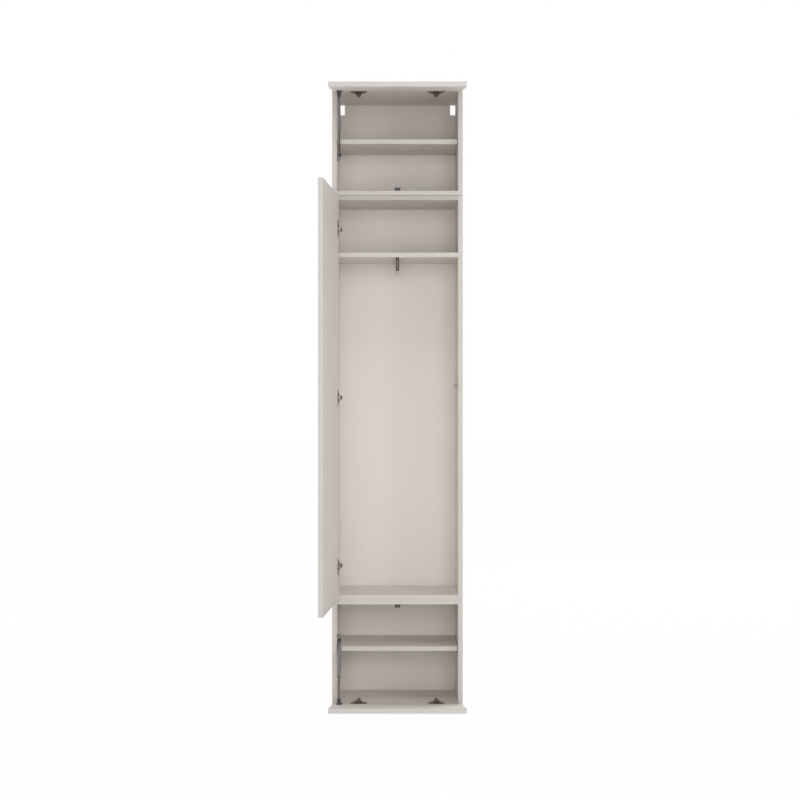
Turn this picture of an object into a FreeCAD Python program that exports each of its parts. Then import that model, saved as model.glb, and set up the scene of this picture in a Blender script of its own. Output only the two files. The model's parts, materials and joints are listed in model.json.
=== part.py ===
import FreeCAD, Part
import math
import os

import Sketcher

from FreeCAD import Placement, Rotation, Vector

# Tall hall wardrobe of three stacked modules, shown with all its doors open.
# X runs to the right, Y to the back and Z up; the origin is the middle of the footprint on the floor.
# A hinge frame has its origin on a hinge pin, x along the closed door away from its hinged edge,
# y into the cabinet and z along the pin.

# Driving sizes in millimetres, and angles in degrees.
SIZES = {
    "cabinet_width": 450.0,
    "cabinet_depth": 280.0,
    "board": 16.0,
    "back_board": 3.0,
    "back_reveal": 1.5,
    "flap_module": 378.0,
    "tall_module": 1394.0,
    "edge_round": 0.8,
    "hat_bay": 181.0,
    "shelf_setback": 23.0,
    "shelf_end_gap": 1.5,
    "shelf_back_gap": 1.0,
    "upper_shelf_height": 165.0,
    "lower_shelf_height": 182.0,
    "slot_width": 18.0,
    "slot_height": 35.0,
    "door_board": 16.0,
    "door_reveal": 2.5,
    "door_gap": 3.0,
    "main_door_open_degrees": 94.2,
    "flap_open_degrees": 81.1,
    "pin_inset": 8.4,
    "pin_depth": 11.3,
    "main_hinge_inset": 117.0,
    "flap_hinge_spread": 134.0,
    "cup_radius": 17.5,
    "cup_depth": 14.0,
    "cup_wall": 0.8,
    "cup_floor": 0.6,
    "cup_edge": 3.5,
    "flange_length": 57.0,
    "flange_reach": 23.0,
    "flange_thick": 1.2,
    "flange_lead": 10.0,
    "flange_corner": 7.0,
    "cup_screw_spread": 22.5,
    "cup_screw_offset": 9.5,
    "hinge_pin_radius": 0.9,
    "running_gap": 0.05,
    "sheet_steel": 2.0,
    "knuckle_wall": 1.0,
    "neck_width": 10.0,
    "neck_reach": 13.5,
    "arm_front_width": 22.0,
    "arm_rear_width": 9.0,
    "arm_start": 5.0,
    "arm_length": 55.0,
    "arm_height": 13.0,
    "arm_wall": 1.3,
    "arm_skirt": 10.5,
    "arm_round": 2.5,
    "plate_start": 28.0,
    "plate_length": 50.0,
    "plate_width": 15.0,
    "plate_foot": 2.0,
    "plate_corner": 3.75,
    "wing_reach": 14.0,
    "wing_span": 57.0,
    "wing_height": 8.5,
    "rib_length": 16.0,
    "hinge_screw_setback": 37.0,
    "hinge_screw_pitch": 32.0,
    "fit_gap": 0.2,
    "screw_length": 13.0,
    "screw_radius": 1.6,
    "screw_head_radius": 3.2,
    "screw_head_height": 1.2,
    "screw_recess_share": 0.6,
    "screw_slot_width": 0.9,
    "screw_slot_depth": 0.8,
    "ball_radius": 4.0,
    "ball_along": 76.0,
    "ball_offset": 14.0,
    "ball_neck_radius": 2.2,
    "socket_radius": 6.5,
    "socket_width": 10.0,
    "socket_mouth_radius": 3.2,
    "socket_neck_radius": 4.6,
    "socket_reach": 10.0,
    "strut_inset": 9.0,
    "strut_foot_setback": 12.0,
    "strut_foot_height": 235.0,
    "cylinder_radius": 6.0,
    "cylinder_length": 118.0,
    "cylinder_wall": 1.1,
    "cylinder_cap": 3.0,
    "gland_length": 10.0,
    "cylinder_round": 1.5,
    "rod_radius": 3.2,
    "piston_stop_gap": 4.3,
    "piston_length": 8.0,
    "foot_plate_length": 44.0,
    "foot_plate_width": 14.0,
    "foot_plate_thick": 2.5,
    "foot_plate_corner": 5.0,
    "foot_screw_spread": 15.0,
    "open_pivot_gap": 0.4,
    "flap_plate_length": 34.0,
    "flap_plate_thick": 2.0,
    "flap_screw_spread": 11.5,
    "lug_width": 13.0,
    "lug_clear": 1.0,
    "latch_width": 20.0,
    "latch_height": 12.0,
    "latch_length": 52.0,
    "latch_setback": 7.3,
    "latch_tab_length": 12.0,
    "latch_tab_thick": 2.5,
    "latch_screw_spread": 5.0,
    "latch_round": 1.0,
    "side_latch_height": 739.5,
    "plunger_radius": 4.0,
    "plunger_length": 46.0,
    "plunger_proud": 10.0,
    "plunger_bore_depth": 49.0,
    "plunger_round": 1.2,
    "rail_plate_width": 38.0,
    "rail_plate_length": 24.0,
    "rail_plate_thick": 2.5,
    "rail_plate_corner": 6.0,
    "rail_setback": 8.0,
    "rail_rear_gap": 33.0,
    "rail_width": 11.4,
    "rail_height": 18.0,
    "rail_wall": 1.6,
    "rail_lip": 1.4,
    "rail_drop": 48.0,
    "rail_leg": 6.0,
    "rail_leg_groove": 1.2,
    "rail_groove_width": 5.0,
    "rail_gap": 0.15,
    "rail_rod_radius": 4.5,
    "rail_screw_spread": 12.5,
    "shelf_pin_radius": 2.5,
    "shelf_pin_depth": 9.0,
    "shelf_pin_collar_radius": 4.5,
    "shelf_pin_collar": 1.1,
    "shelf_pin_reach": 7.0,
    "shelf_pin_front": 37.0,
    "shelf_pin_rear": 40.0,
    "cam_radius": 7.5,
    "cam_height": 12.5,
    "cam_reach": 24.0,
    "cam_inset": 48.0,
    "cam_recess_share": 0.7,
    "cam_slot_width": 2.0,
    "cam_slot_depth": 3.0,
    "cam_way_radius": 3.2,
    "cam_bolt_radius": 3.0,
    "cam_bolt_neck": 2.2,
    "cam_bolt_depth": 11.0,
    "cam_bolt_grip": 4.0,
    "cam_bore_radius": 4.0,
    "connector_radius": 4.0,
    "connector_head_radius": 7.0,
    "connector_head": 1.2,
    "connector_short": 5.0,
    "connector_floor": 4.0,
    "connector_spread": 150.0,
    "connector_inset": 60.0,
    "connector_thread_radius": 2.5,
    "connector_thread_length": 22.0,
    "nail_radius": 0.9,
    "nail_length": 20.0,
    "nail_head_radius": 2.4,
    "nail_head": 0.6,
    "nail_inset": 30.0,
    "nail_pitch": 170.0,
    "nail_spread": 130.0,
    "overrun": 5.0,
}

NO_TURN = Rotation()
TOWARDS_X = Rotation(Vector(0, 0, 1), Vector(1, 0, 0))
TOWARDS_MINUS_X = Rotation(Vector(0, 0, 1), Vector(-1, 0, 0))
TOWARDS_Y = Rotation(Vector(0, 0, 1), Vector(0, 1, 0))
DOWNWARDS = Rotation(Vector(0, 0, 1), Vector(0, 0, -1))
FLAT_ON_X = Rotation(Vector(0, 1, 0), 90)
FLAT_ON_Y = Rotation(Vector(0, 0, 1), Vector(1, 0, 0), Vector(0, 1, 0))


class Size:
    """A length with the sheet formula that it comes from."""

    def __init__(self, value, formula):
        self.value = value
        self.formula = formula

    @staticmethod
    def of(other):
        """Return a Size for a Size or a plain count or share."""
        return other if isinstance(other, Size) else Size(float(other), repr(other))

    def join(self, other, sign, value):
        return Size(value, f"({self.formula} {sign} {other.formula})")

    def __add__(self, other):
        other = Size.of(other)
        return self.join(other, "+", self.value + other.value)

    def __sub__(self, other):
        other = Size.of(other)
        return self.join(other, "-", self.value - other.value)

    def __mul__(self, other):
        other = Size.of(other)
        return self.join(other, "*", self.value * other.value)

    def __truediv__(self, other):
        other = Size.of(other)
        return self.join(other, "/", self.value / other.value)

    def root(self):
        """The square root."""
        return Size(math.sqrt(self.value), f"sqrt({self.formula})")

    def cosine(self):
        """The cosine of an angle in degrees."""
        return Size(math.cos(math.radians(self.value)), f"cos({self.formula})")

    def sine(self):
        """The sine of an angle in degrees."""
        return Size(math.sin(math.radians(self.value)), f"sin({self.formula})")

    def __neg__(self):
        return Size(-self.value, f"(-1 * {self.formula})")

    def __rmul__(self, other):
        return Size.of(other) * self

    def __radd__(self, other):
        return Size.of(other) + self

    def __rsub__(self, other):
        return Size.of(other) - self


class Sheet:
    """The driving sizes, each one a Size under its own name."""

    def __init__(self, document, sizes):
        sheet = document.addObject("Spreadsheet::Sheet", "Sizes")
        for row, (name, value) in enumerate(sizes.items(), start=1):
            sheet.set(f"A{row}", name)
            sheet.set(f"B{row}", str(value))
            sheet.setAlias(f"B{row}", name)
        document.recompute()
        for name in sizes:
            setattr(self, name, Size(float(sheet.get(name)), f"Sizes.{name}"))


doc = FreeCAD.newDocument("Wardrobe")
s = Sheet(doc, SIZES)
ZERO = Size(0.0, "0")
nodes = []


# General helpers

def bind(item, prop, length):
    """Tie one property of a feature to a Size."""
    item.setExpression(prop, Size.of(length).formula)


def place(item, corner, turn=NO_TURN):
    """Put a feature at a point given in Sizes, turned by a rotation."""
    item.Placement = Placement(Vector(), turn)
    for axis, length in zip("xyz", corner):
        bind(item, f".Placement.Base.{axis}", length)
    return item


def box(name, corner, span):
    """A box from its low corner and its span along X, Y and Z."""
    item = doc.addObject("Part::Box", name)
    for prop, length in zip(("Length", "Width", "Height"), span):
        bind(item, prop, length)
    return place(item, corner)


def rod(name, start, radius, length, turn=NO_TURN):
    """A cylinder from the middle of its first end, along the turned Z axis."""
    item = doc.addObject("Part::Cylinder", name)
    bind(item, "Radius", radius)
    bind(item, "Height", length)
    return place(item, start, turn)


def ball(name, centre, radius):
    """A sphere about a point."""
    item = doc.addObject("Part::Sphere", name)
    bind(item, "Radius", radius)
    return place(item, centre)


def fuse(name, parts):
    """One solid of several that meet."""
    item = doc.addObject("Part::MultiFuse", name)
    item.Shapes = parts
    item.Refine = True
    return item


def cut(name, base, tools):
    """A solid with several tools taken out of it."""
    if not tools:
        return base
    tool = tools[0]
    if len(tools) > 1:
        tool = doc.addObject("Part::Compound", name + "_tools")
        tool.Links = tools
    item = doc.addObject("Part::Cut", name)
    item.Base = base
    item.Tool = tool
    return item


def rounded(name, base, radius, chosen=None):
    """A solid with some or all of its edges rounded."""
    doc.recompute()
    numbers = [
        number
        for number, edge in enumerate(base.Shape.Edges, start=1)
        if chosen is None or chosen(edge)
    ]
    item = doc.addObject("Part::Fillet", name)
    item.Base = base
    item.Edges = [(number, radius.value, radius.value) for number in numbers]
    return item


def runs_along(edge, axis):
    """Whether a straight edge runs along the axis with this number."""
    first, last = edge.Vertexes[0].Point, edge.Vertexes[-1].Point
    others = [i for i in range(3) if i != axis]
    return all(math.isclose(first[i], last[i], abs_tol=1e-6) for i in others)


def upright(edge):
    """Whether a straight edge runs along Z."""
    return runs_along(edge, 2)


def group(name, parts):
    """Several separate solids as one node."""
    item = doc.addObject("Part::Compound", name)
    item.Links = parts
    return item


def copy_of(master, name, corner, turn=NO_TURN):
    """A copy of a repeated piece at a point, turned by a rotation."""
    item = doc.addObject("App::Link", name)
    item.LinkedObject = master
    return place(item, corner, turn)


def node(item, label, placement=None):
    """Make a feature a node of the object, under its own label."""
    item.Label = label
    if placement is not None:
        item.Placement = placement
    nodes.append(item)
    return item


def outline(body, name, points):
    """A closed sketch on the XY plane of a body, each corner tied to its Sizes."""
    sketch = body.newObject("Sketcher::SketchObject", name)
    plane = [o for o in body.Origin.OriginFeatures if o.Role == "XY_Plane"][0]
    sketch.AttachmentSupport = [(plane, "")]
    sketch.MapMode = "FlatFace"
    corners = [(Size.of(x), Size.of(y)) for x, y in points]
    vectors = [Vector(x.value, y.value, 0) for x, y in corners]
    count = len(vectors)
    for i in range(count):
        sketch.addGeometry(Part.LineSegment(vectors[i], vectors[(i + 1) % count]), False)
    for i in range(count):
        sketch.addConstraint(Sketcher.Constraint("Coincident", i, 2, (i + 1) % count, 1))
    for i, corner in enumerate(corners):
        for kind, length, axis in (("DistanceX", corner[0], -2), ("DistanceY", corner[1], -1)):
            tie(sketch, kind, i, length, axis)
    return sketch


def tie(sketch, kind, line, length, axis):
    """Hold the start of a line at a Size from the sketch's origin, or on an axis where that is zero."""
    if length.value == 0:
        sketch.addConstraint(Sketcher.Constraint("PointOnObject", line, 1, axis))
        return
    if length.value > 0:
        ends, held = (-1, 1, line, 1), length
    else:
        ends, held = (line, 1, -1, 1), -length
    number = sketch.addConstraint(Sketcher.Constraint(kind, *ends, held.value))
    sketch.setExpression(f"Constraints[{number}]", held.formula)


def turned(name, points):
    """A body turned about its Y axis from points of radius and height."""
    body = doc.addObject("PartDesign::Body", name)
    sketch = outline(body, name + "_outline", points)
    item = body.newObject("PartDesign::Revolution", name + "_turned")
    item.Profile = sketch
    item.ReferenceAxis = (sketch, ["V_Axis"])
    item.Angle = 360.0
    return body


def padded(name, points, width):
    """A body whose outline in the XY plane is padded to both sides."""
    body = doc.addObject("PartDesign::Body", name)
    sketch = outline(body, name + "_outline", points)
    item = body.newObject("PartDesign::Pad", name + "_pad")
    item.Profile = sketch
    bind(item, "Length", width)
    item.Midplane = True
    return body


# Places that several pieces share

half_width = s.cabinet_width / 2
inner_half = half_width - s.board
front = -(s.cabinet_depth / 2)
back_face = s.cabinet_depth / 2 - s.back_board
board_depth = s.cabinet_depth - s.back_board
tall_floor = s.flap_module
tall_top = s.flap_module + s.tall_module
cabinet_top = tall_top + s.flap_module
hat_shelf_top = tall_top - s.board - s.hat_bay
hat_shelf_floor = hat_shelf_top - s.board
upper_shelf_floor = tall_top + s.board + s.upper_shelf_height
lower_shelf_floor = s.board + s.lower_shelf_height
panel_face = s.board - s.door_reveal - s.pin_inset
front_edge = s.door_gap + s.pin_depth
arm_front = front_edge + s.arm_start
cup_centre = s.cup_edge + s.cup_radius - s.pin_inset
cup_bottom = s.pin_depth - s.cup_depth
plate_first_screw = front_edge + s.hinge_screw_setback
strut_plane = inner_half - s.strut_inset
rail_length = board_depth - s.rail_setback - s.rail_rear_gap

# The tools that are taken out of each board, by the board's label
holes = {}


def drill(board, tool):
    """Keep a tool to be taken out of a board."""
    holes.setdefault(board, []).append(tool)


# Small fasteners, each driven along its own Y axis with its head at the origin

def screw_outline():
    """Half outline of a countersunk chipboard screw."""
    end = s.screw_length - s.screw_radius
    return [
        (ZERO, ZERO),
        (s.screw_head_radius, ZERO),
        (s.screw_radius, s.screw_head_height),
        (s.screw_radius, end),
        (ZERO, s.screw_length),
    ]


def make_screw():
    """The screw with a cross recess in its head, and the space that it fills."""
    void = turned("screw_space", screw_outline())
    blank = turned("screw_blank", screw_outline())
    reach = s.screw_head_radius * 2 * s.screw_recess_share
    half = s.screw_slot_width / 2
    slot_length = s.overrun + s.screw_slot_depth
    cross = [
        box("slot_long", (-(reach / 2), -s.overrun, -half), (reach, slot_length, s.screw_slot_width)),
        box("slot_wide", (-half, -s.overrun, -(reach / 2)), (s.screw_slot_width, slot_length, reach)),
    ]
    return cut("screw", blank, [fuse("cross_recess", cross)]), void


screw, screw_space = make_screw()

INTO_MINUS_Y = Rotation(Vector(0, 1, 0), Vector(0, -1, 0))
INTO_X = Rotation(Vector(0, 1, 0), Vector(1, 0, 0))
INTO_MINUS_X = Rotation(Vector(0, 1, 0), Vector(-1, 0, 0))
INTO_Z = Rotation(Vector(0, 1, 0), Vector(0, 0, 1))
INTO_MINUS_Z = Rotation(Vector(0, 1, 0), Vector(0, 0, -1))


def make_cam():
    """A cam lock: a drum with a cross recess and a way through for the bolt's head."""
    drum = rod("cam_drum", (ZERO, ZERO, ZERO), s.cam_radius, s.cam_height, TOWARDS_Y)
    half = s.cam_slot_width / 2
    reach = s.cam_radius * 2 * s.cam_recess_share
    tools = [
        rod("cam_way", (-(s.cam_radius + s.overrun), s.board / 2, ZERO), s.cam_way_radius,
            (s.cam_radius + s.overrun) * 2, TOWARDS_X),
        box("cam_slot", (-(reach / 2), -s.overrun, -half),
            (reach, s.overrun + s.cam_slot_depth, s.cam_slot_width)),
    ]
    return cut("cam", drum, tools)


def cam_bolt_outline():
    """Half outline of a cam bolt, from its threaded end to its head."""
    length = s.cam_bolt_depth + s.cam_reach - s.cam_radius + s.cam_bolt_grip
    return [
        (ZERO, ZERO),
        (s.cam_bolt_radius, ZERO),
        (s.cam_bolt_radius, s.cam_bolt_depth),
        (s.cam_bolt_neck, s.cam_bolt_depth),
        (s.cam_bolt_neck, length - s.cam_bolt_grip),
        (s.cam_bolt_radius, length - s.cam_bolt_grip),
        (s.cam_bolt_radius, length),
        (ZERO, length),
    ]


def barrel_outline():
    """Half outline of a flanged connector barrel, its flange proud of the board."""
    end = s.board * 2 - s.connector_short
    return [
        (ZERO, -s.connector_head),
        (s.connector_head_radius, -s.connector_head),
        (s.connector_head_radius, ZERO),
        (s.connector_radius, ZERO),
        (s.connector_radius, end),
        (s.connector_thread_radius, end),
        (s.connector_thread_radius, s.connector_floor),
        (ZERO, s.connector_floor),
    ]


def connector_screw_outline():
    """Half outline of the screw that goes into the barrel."""
    return [
        (ZERO, -s.connector_head),
        (s.connector_head_radius, -s.connector_head),
        (s.connector_head_radius, ZERO),
        (s.connector_thread_radius, ZERO),
        (s.connector_thread_radius, s.connector_thread_length),
        (ZERO, s.connector_thread_length),
    ]


def nail_outline():
    """Half outline of a back nail with its head flush."""
    return [
        (ZERO, ZERO),
        (s.nail_head_radius, ZERO),
        (s.nail_head_radius, s.nail_head),
        (s.nail_radius, s.nail_head),
        (s.nail_radius, s.nail_length - s.nail_radius),
        (ZERO, s.nail_length),
    ]


def shelf_pin_outline():
    """Half outline of a shelf pin: shank in the side, collar, and peg under the shelf."""
    return [
        (ZERO, -s.shelf_pin_depth),
        (s.shelf_pin_radius, -s.shelf_pin_depth),
        (s.shelf_pin_radius, ZERO),
        (s.shelf_pin_collar_radius, ZERO),
        (s.shelf_pin_collar_radius, s.shelf_pin_collar),
        (s.shelf_pin_radius, s.shelf_pin_collar),
        (s.shelf_pin_radius, s.shelf_pin_reach),
        (ZERO, s.shelf_pin_reach),
    ]


# What joins the boards of each module

# Every level board: its label, its module, its underside, and whether its cams open upwards
LEVEL_BOARDS = (
    ("low_base", "low", ZERO, False),
    ("low_roof", "low", s.flap_module - s.board, True),
    ("tall_base", "tall", tall_floor, False),
    ("tall_roof", "tall", tall_top - s.board, True),
    ("hat_shelf", "tall", hat_shelf_floor, True),
    ("top_base", "top", tall_top, False),
    ("top_roof", "top", cabinet_top - s.board, True),
)

# Every module: its label, its floor and its height
MODULES = (
    ("low", ZERO, s.flap_module),
    ("tall", tall_floor, s.tall_module),
    ("top", tall_top, s.flap_module),
)


def join_level_board(label, module, floor, cams_up, cam, bolt):
    """Cams and bolts at both ends of a level board, with their holes."""
    cams, bolts = [], []
    middle = floor + s.board / 2
    face = floor + s.board if cams_up else floor
    into = INTO_MINUS_Z if cams_up else INTO_Z
    down = DOWNWARDS if cams_up else NO_TURN
    for side, hand, inward in (("left", -1, INTO_X), ("right", 1, INTO_MINUS_X)):
        wall = inner_half * hand
        tip = (inner_half + s.cam_bolt_depth) * hand
        along = TOWARDS_X if hand > 0 else TOWARDS_MINUS_X
        for row, y in (("front", front + s.cam_inset), ("rear", back_face - s.cam_inset)):
            name = f"{label}_{side}_{row}"
            centre = wall - s.cam_reach * hand
            cams.append(copy_of(cam, name + "_cam", (centre, y, face), into))
            bolts.append(copy_of(bolt, name + "_bolt", (tip, y, middle), inward))
            seat = [
                rod(name + "_seat", (centre, y, face), s.cam_radius, s.cam_height, down),
                rod(name + "_bore", (centre, y, middle), s.cam_bore_radius, s.cam_reach + s.overrun, along),
            ]
            drill(label, fuse(name + "_space", seat))
            drill(f"{module}_side_{side}",
                  rod(name + "_socket", (wall, y, middle), s.cam_bolt_radius, s.cam_bolt_depth, along))
    return cams, bolts


def make_board_joints():
    """The cam locks and cam bolts of the whole cabinet."""
    cam = make_cam()
    bolt = turned("cam_bolt", cam_bolt_outline())
    cams, bolts = [], []
    for label, module, floor, cams_up in LEVEL_BOARDS:
        more_cams, more_bolts = join_level_board(label, module, floor, cams_up, cam, bolt)
        cams += more_cams
        bolts += more_bolts
    node(group("cam_lock_group", cams), "cam_locks")
    node(group("cam_bolt_group", bolts), "cam_bolts")


def make_connectors():
    """The flanged connectors that clamp each module to the next."""
    barrel = turned("connector_barrel", barrel_outline())
    screw_part = turned("connector_screw", connector_screw_outline())
    connectors = []
    rows = (("front", front + s.connector_inset), ("rear", back_face - s.connector_inset))
    for seam, lower, upper in ((tall_floor, "low_roof", "tall_base"), (tall_top, "tall_roof", "top_base")):
        for hand in (-1, 1):
            for row, y in rows:
                name = f"{upper}_{'left' if hand < 0 else 'right'}_{row}"
                x = s.connector_spread * hand
                connectors.append(copy_of(barrel, name + "_barrel", (x, y, seam + s.board), INTO_MINUS_Z))
                connectors.append(copy_of(screw_part, name + "_screw", (x, y, seam - s.board), INTO_Z))
                low = seam - s.board - s.overrun
                length = s.board + s.overrun * 2
                drill(lower, rod(name + "_hole_low", (x, y, low), s.connector_radius, length))
                drill(upper, rod(name + "_hole_up", (x, y, seam - s.overrun), s.connector_radius, length))
    node(group("connector_group", connectors), "connector_bolts")


def nail_places():
    """Every nail: the back it holds, the board that it goes into, and its place in X and Z."""
    places = []
    for module, floor, height in MODULES:
        run = height - s.nail_inset * 2
        count = max(2, round(run.value / s.nail_pitch.value) + 1)
        for hand, side in ((-1, "left"), (1, "right")):
            for i in range(count):
                z = floor + s.nail_inset + run * (i / (count - 1))
                x = (half_width - s.board / 2) * hand
                places.append((f"{module}_back", f"{module}_side_{side}", x, z))
    for label, module, floor, cams_up in LEVEL_BOARDS:
        for hand in (-1, 1):
            places.append((f"{module}_back", label, s.nail_spread * hand, floor + s.board / 2))
    return places


def make_nails():
    """The nails that hold the three thin backs."""
    nail = turned("nail", nail_outline())
    nails = []
    for number, (back, board, x, z) in enumerate(nail_places()):
        spot = (x, s.cabinet_depth / 2, z)
        nails.append(copy_of(nail, f"nail_{number}", spot, INTO_MINUS_Y))
        drill(back, copy_of(nail, f"nail_{number}_in_back", spot, INTO_MINUS_Y))
        drill(board, copy_of(nail, f"nail_{number}_in_board", spot, INTO_MINUS_Y))
    node(group("nail_group", nails), "back_nails")


def make_shelf_pins():
    """Four pins under each of the two adjustable shelves."""
    pin = turned("shelf_pin", shelf_pin_outline())
    pins = []
    for module, floor in (("low", lower_shelf_floor), ("top", upper_shelf_floor)):
        for side, hand, inward in (("left", -1, INTO_X), ("right", 1, INTO_MINUS_X)):
            for row, y in (
                ("front", front + s.shelf_setback + s.shelf_pin_front),
                ("rear", back_face - s.shelf_pin_rear),
            ):
                name = f"{module}_pin_{side}_{row}"
                spot = (inner_half * hand, y, floor - s.shelf_pin_radius)
                pins.append(copy_of(pin, name, spot, inward))
                drill(f"{module}_side_{side}", copy_of(pin, name + "_hole", spot, inward))
    node(group("shelf_pin_group", pins), "shelf_pins")


# Hinges, in the hinge frame

def make_cup(screw_spots):
    """The pressed cup with its flange, open towards the arm."""
    shell = rod("cup_shell", (cup_centre, cup_bottom, ZERO), s.cup_radius, s.cup_depth, TOWARDS_Y)
    plate = box("cup_flange", (cup_centre - s.flange_lead, s.pin_depth, -(s.flange_length / 2)),
                (s.flange_reach, s.flange_thick, s.flange_length))
    smooth = rounded("cup_flange_round", plate, s.flange_corner, lambda edge: runs_along(edge, 1))
    inside = rod("cup_inside", (cup_centre, cup_bottom + s.cup_floor, ZERO), s.cup_radius - s.cup_wall,
                 s.cup_depth + s.overrun, TOWARDS_Y)
    tools = [
        inside,
        rod("cup_pin_way", (ZERO, ZERO, -(s.cup_radius + s.overrun)), s.hinge_pin_radius,
            (s.cup_radius + s.overrun) * 2),
    ]
    tools = [fuse("cup_space", tools)]
    tools += [
        copy_of(screw_space, f"cup_screw_way_{i}", spot, INTO_MINUS_Y)
        for i, spot in enumerate(screw_spots)
    ]
    return cut("cup", fuse("cup_blank", [shell, smooth]), tools)


def make_pin():
    """The pin, as long as it can be inside the round of the cup."""
    near_side = cup_centre + s.hinge_pin_radius
    half = (s.cup_radius * s.cup_radius - near_side * near_side).root()
    return group("hinge_pin", [rod("hinge_pin_rod", (ZERO, ZERO, -half), s.hinge_pin_radius, half * 2)])


def arm_half(along):
    """Half the width of the arm at a distance behind its front end."""
    narrowing = (s.arm_front_width - s.arm_rear_width) * (along / s.arm_length)
    return (s.arm_front_width - narrowing) / 2


def arm_wedge(name, start, end, low, high, wall=ZERO):
    """A block with the arm's taper, between two distances behind its front end and two heights."""
    near_half, far_half = arm_half(start) - wall, arm_half(end) - wall
    first, last = arm_front + start, arm_front + end
    corners = [(-near_half, first), (near_half, first), (far_half, last), (-far_half, last)]
    return place(padded(name, corners, high - low), ((high + low) / 2, ZERO, ZERO), FLAT_ON_X)


def make_arm():
    """The goose-neck arm: an eye on the pin, a neck out of the cup, and a tapered channel."""
    knuckle = s.hinge_pin_radius + s.running_gap + s.knuckle_wall
    neck_top = s.neck_reach + s.sheet_steel
    arm_top = panel_face + s.arm_height
    low = arm_top - s.arm_skirt
    neck = padded("neck", [
        (ZERO, -knuckle),
        (neck_top, -knuckle),
        (neck_top, arm_front + s.arm_wall),
        (s.neck_reach, arm_front + s.arm_wall),
        (s.neck_reach, s.sheet_steel - knuckle),
        (ZERO, s.sheet_steel - knuckle),
    ], s.neck_width)
    bend = rounded("neck_bend", neck, s.sheet_steel,
                   lambda edge: runs_along(edge, 2) and near(edge, neck_top, -knuckle))
    eye = rod("eye", (ZERO, ZERO, -(s.neck_width / 2)), knuckle, s.neck_width)
    body = arm_wedge("arm_body", ZERO, s.arm_length, low, arm_top)
    smooth = rounded("arm_body_round", body, s.arm_round,
                     lambda edge: on_top(edge, arm_top) and not_rear(edge, arm_front + s.arm_length))
    inside = arm_wedge("arm_channel", s.arm_wall, s.arm_length + s.overrun, low - s.overrun,
                       arm_top - s.arm_wall, s.arm_wall)
    bore = rod("eye_bore", (ZERO, ZERO, -(s.neck_width / 2 + s.overrun)),
               s.hinge_pin_radius + s.running_gap, s.neck_width + s.overrun * 2)
    channel = cut("arm_shell", smooth, [inside])
    return cut("arm", fuse("arm_blank", [bend, eye, channel]), [bore])


def near(edge, x, y):
    """Whether an edge along Z stands at this x and y."""
    point = edge.Vertexes[0].Point
    return math.isclose(point.x, x.value, abs_tol=1e-6) and math.isclose(point.y, y.value, abs_tol=1e-6)


def on_top(edge, x):
    """Whether both ends of an edge lie at this x."""
    return all(math.isclose(v.Point.x, x.value, abs_tol=1e-6) for v in edge.Vertexes)


def not_rear(edge, y):
    """Whether an edge doesn't lie in the rear plane at this y."""
    return not all(math.isclose(v.Point.y, y.value, abs_tol=1e-6) for v in edge.Vertexes)


def make_wings(start):
    """The plate's two wings in front of its foot: thin at their tips and highest beside the arm."""
    first, last = start - s.wing_reach, start + s.plate_foot
    tip, root = s.wing_span / 2, s.arm_front_width / 2 + s.fit_gap
    web_top, wing_top = panel_face + s.plate_foot, panel_face + s.wing_height
    corners = [
        (-tip, panel_face),
        (tip, panel_face),
        (tip, web_top),
        (root, wing_top),
        (root, web_top),
        (-root, web_top),
        (-root, wing_top),
        (-tip, web_top),
    ]
    return place(padded("plate_wings", corners, last - first), (ZERO, (first + last) / 2, ZERO), FLAT_ON_Y)


def make_plate(screw_spots):
    """The mounting plate: a foot screwed to the panel, its wings, and a rib inside the arm."""
    start = front_edge + s.plate_start
    rib_start = plate_first_screw + s.screw_head_radius + s.fit_gap
    rib_half = arm_half(rib_start + s.rib_length - arm_front) - s.arm_wall - s.fit_gap
    rib_top = panel_face + s.arm_height - s.arm_wall - s.fit_gap
    foot = box("plate_foot_blank", (panel_face, start, -(s.plate_width / 2)),
               (s.plate_foot, s.plate_length, s.plate_width))
    smooth = rounded("plate_foot_round", foot, s.plate_corner, lambda edge: runs_along(edge, 0))
    rib = box("plate_rib", (panel_face, rib_start, -rib_half),
              (rib_top - panel_face, s.rib_length, rib_half * 2))
    ways = [
        copy_of(screw_space, f"plate_screw_way_{i}", spot, INTO_MINUS_X)
        for i, spot in enumerate(screw_spots)
    ]
    return cut("plate", fuse("plate_blank", [smooth, make_wings(start), rib]), ways)


def spread(master, name, stations, corner, turn=NO_TURN):
    """Copies of a piece at each station along the pin, each with the same place in x and y."""
    x, y, z = corner
    return [copy_of(master, f"{name}_{i}", (x, y, z + station), turn) for i, station in enumerate(stations)]


cup_screw_spots = [
    (cup_centre + s.cup_screw_offset, s.pin_depth + s.flange_thick, s.cup_screw_spread * hand)
    for hand in (-1, 1)
]
plate_screw_spots = [
    (panel_face + s.plate_foot, plate_first_screw, ZERO),
    (panel_face + s.plate_foot, plate_first_screw + s.hinge_screw_pitch, ZERO),
]


class DoorFrame:
    """Where a door's hinge frame stands, closed and as far open as the object is shown."""

    def __init__(self, corner, turn, opening):
        self.corner = corner
        self.turn = turn
        self.opening = opening

    def closed(self, item):
        """Put a cabinet piece of this frame in its place."""
        return place(item, self.corner, self.turn)

    def opened(self, item):
        """Put a door piece of this frame in its place, with the door open."""
        return place(item, self.corner, self.turn * Rotation(Vector(0, 0, 1), -self.opening.value))


main_frame = DoorFrame(
    (s.door_reveal + s.pin_inset - half_width, front - front_edge, tall_floor + s.tall_module / 2),
    NO_TURN, s.main_door_open_degrees)
top_frame = DoorFrame(
    (ZERO, front - front_edge, cabinet_top - s.door_reveal - s.pin_inset),
    Rotation(Vector(0, 1, 0), 90), s.flap_open_degrees)
low_frame = DoorFrame(
    (ZERO, front - front_edge, s.door_reveal + s.pin_inset),
    Rotation(Vector(0, 1, 0), -90), s.flap_open_degrees)

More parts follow.
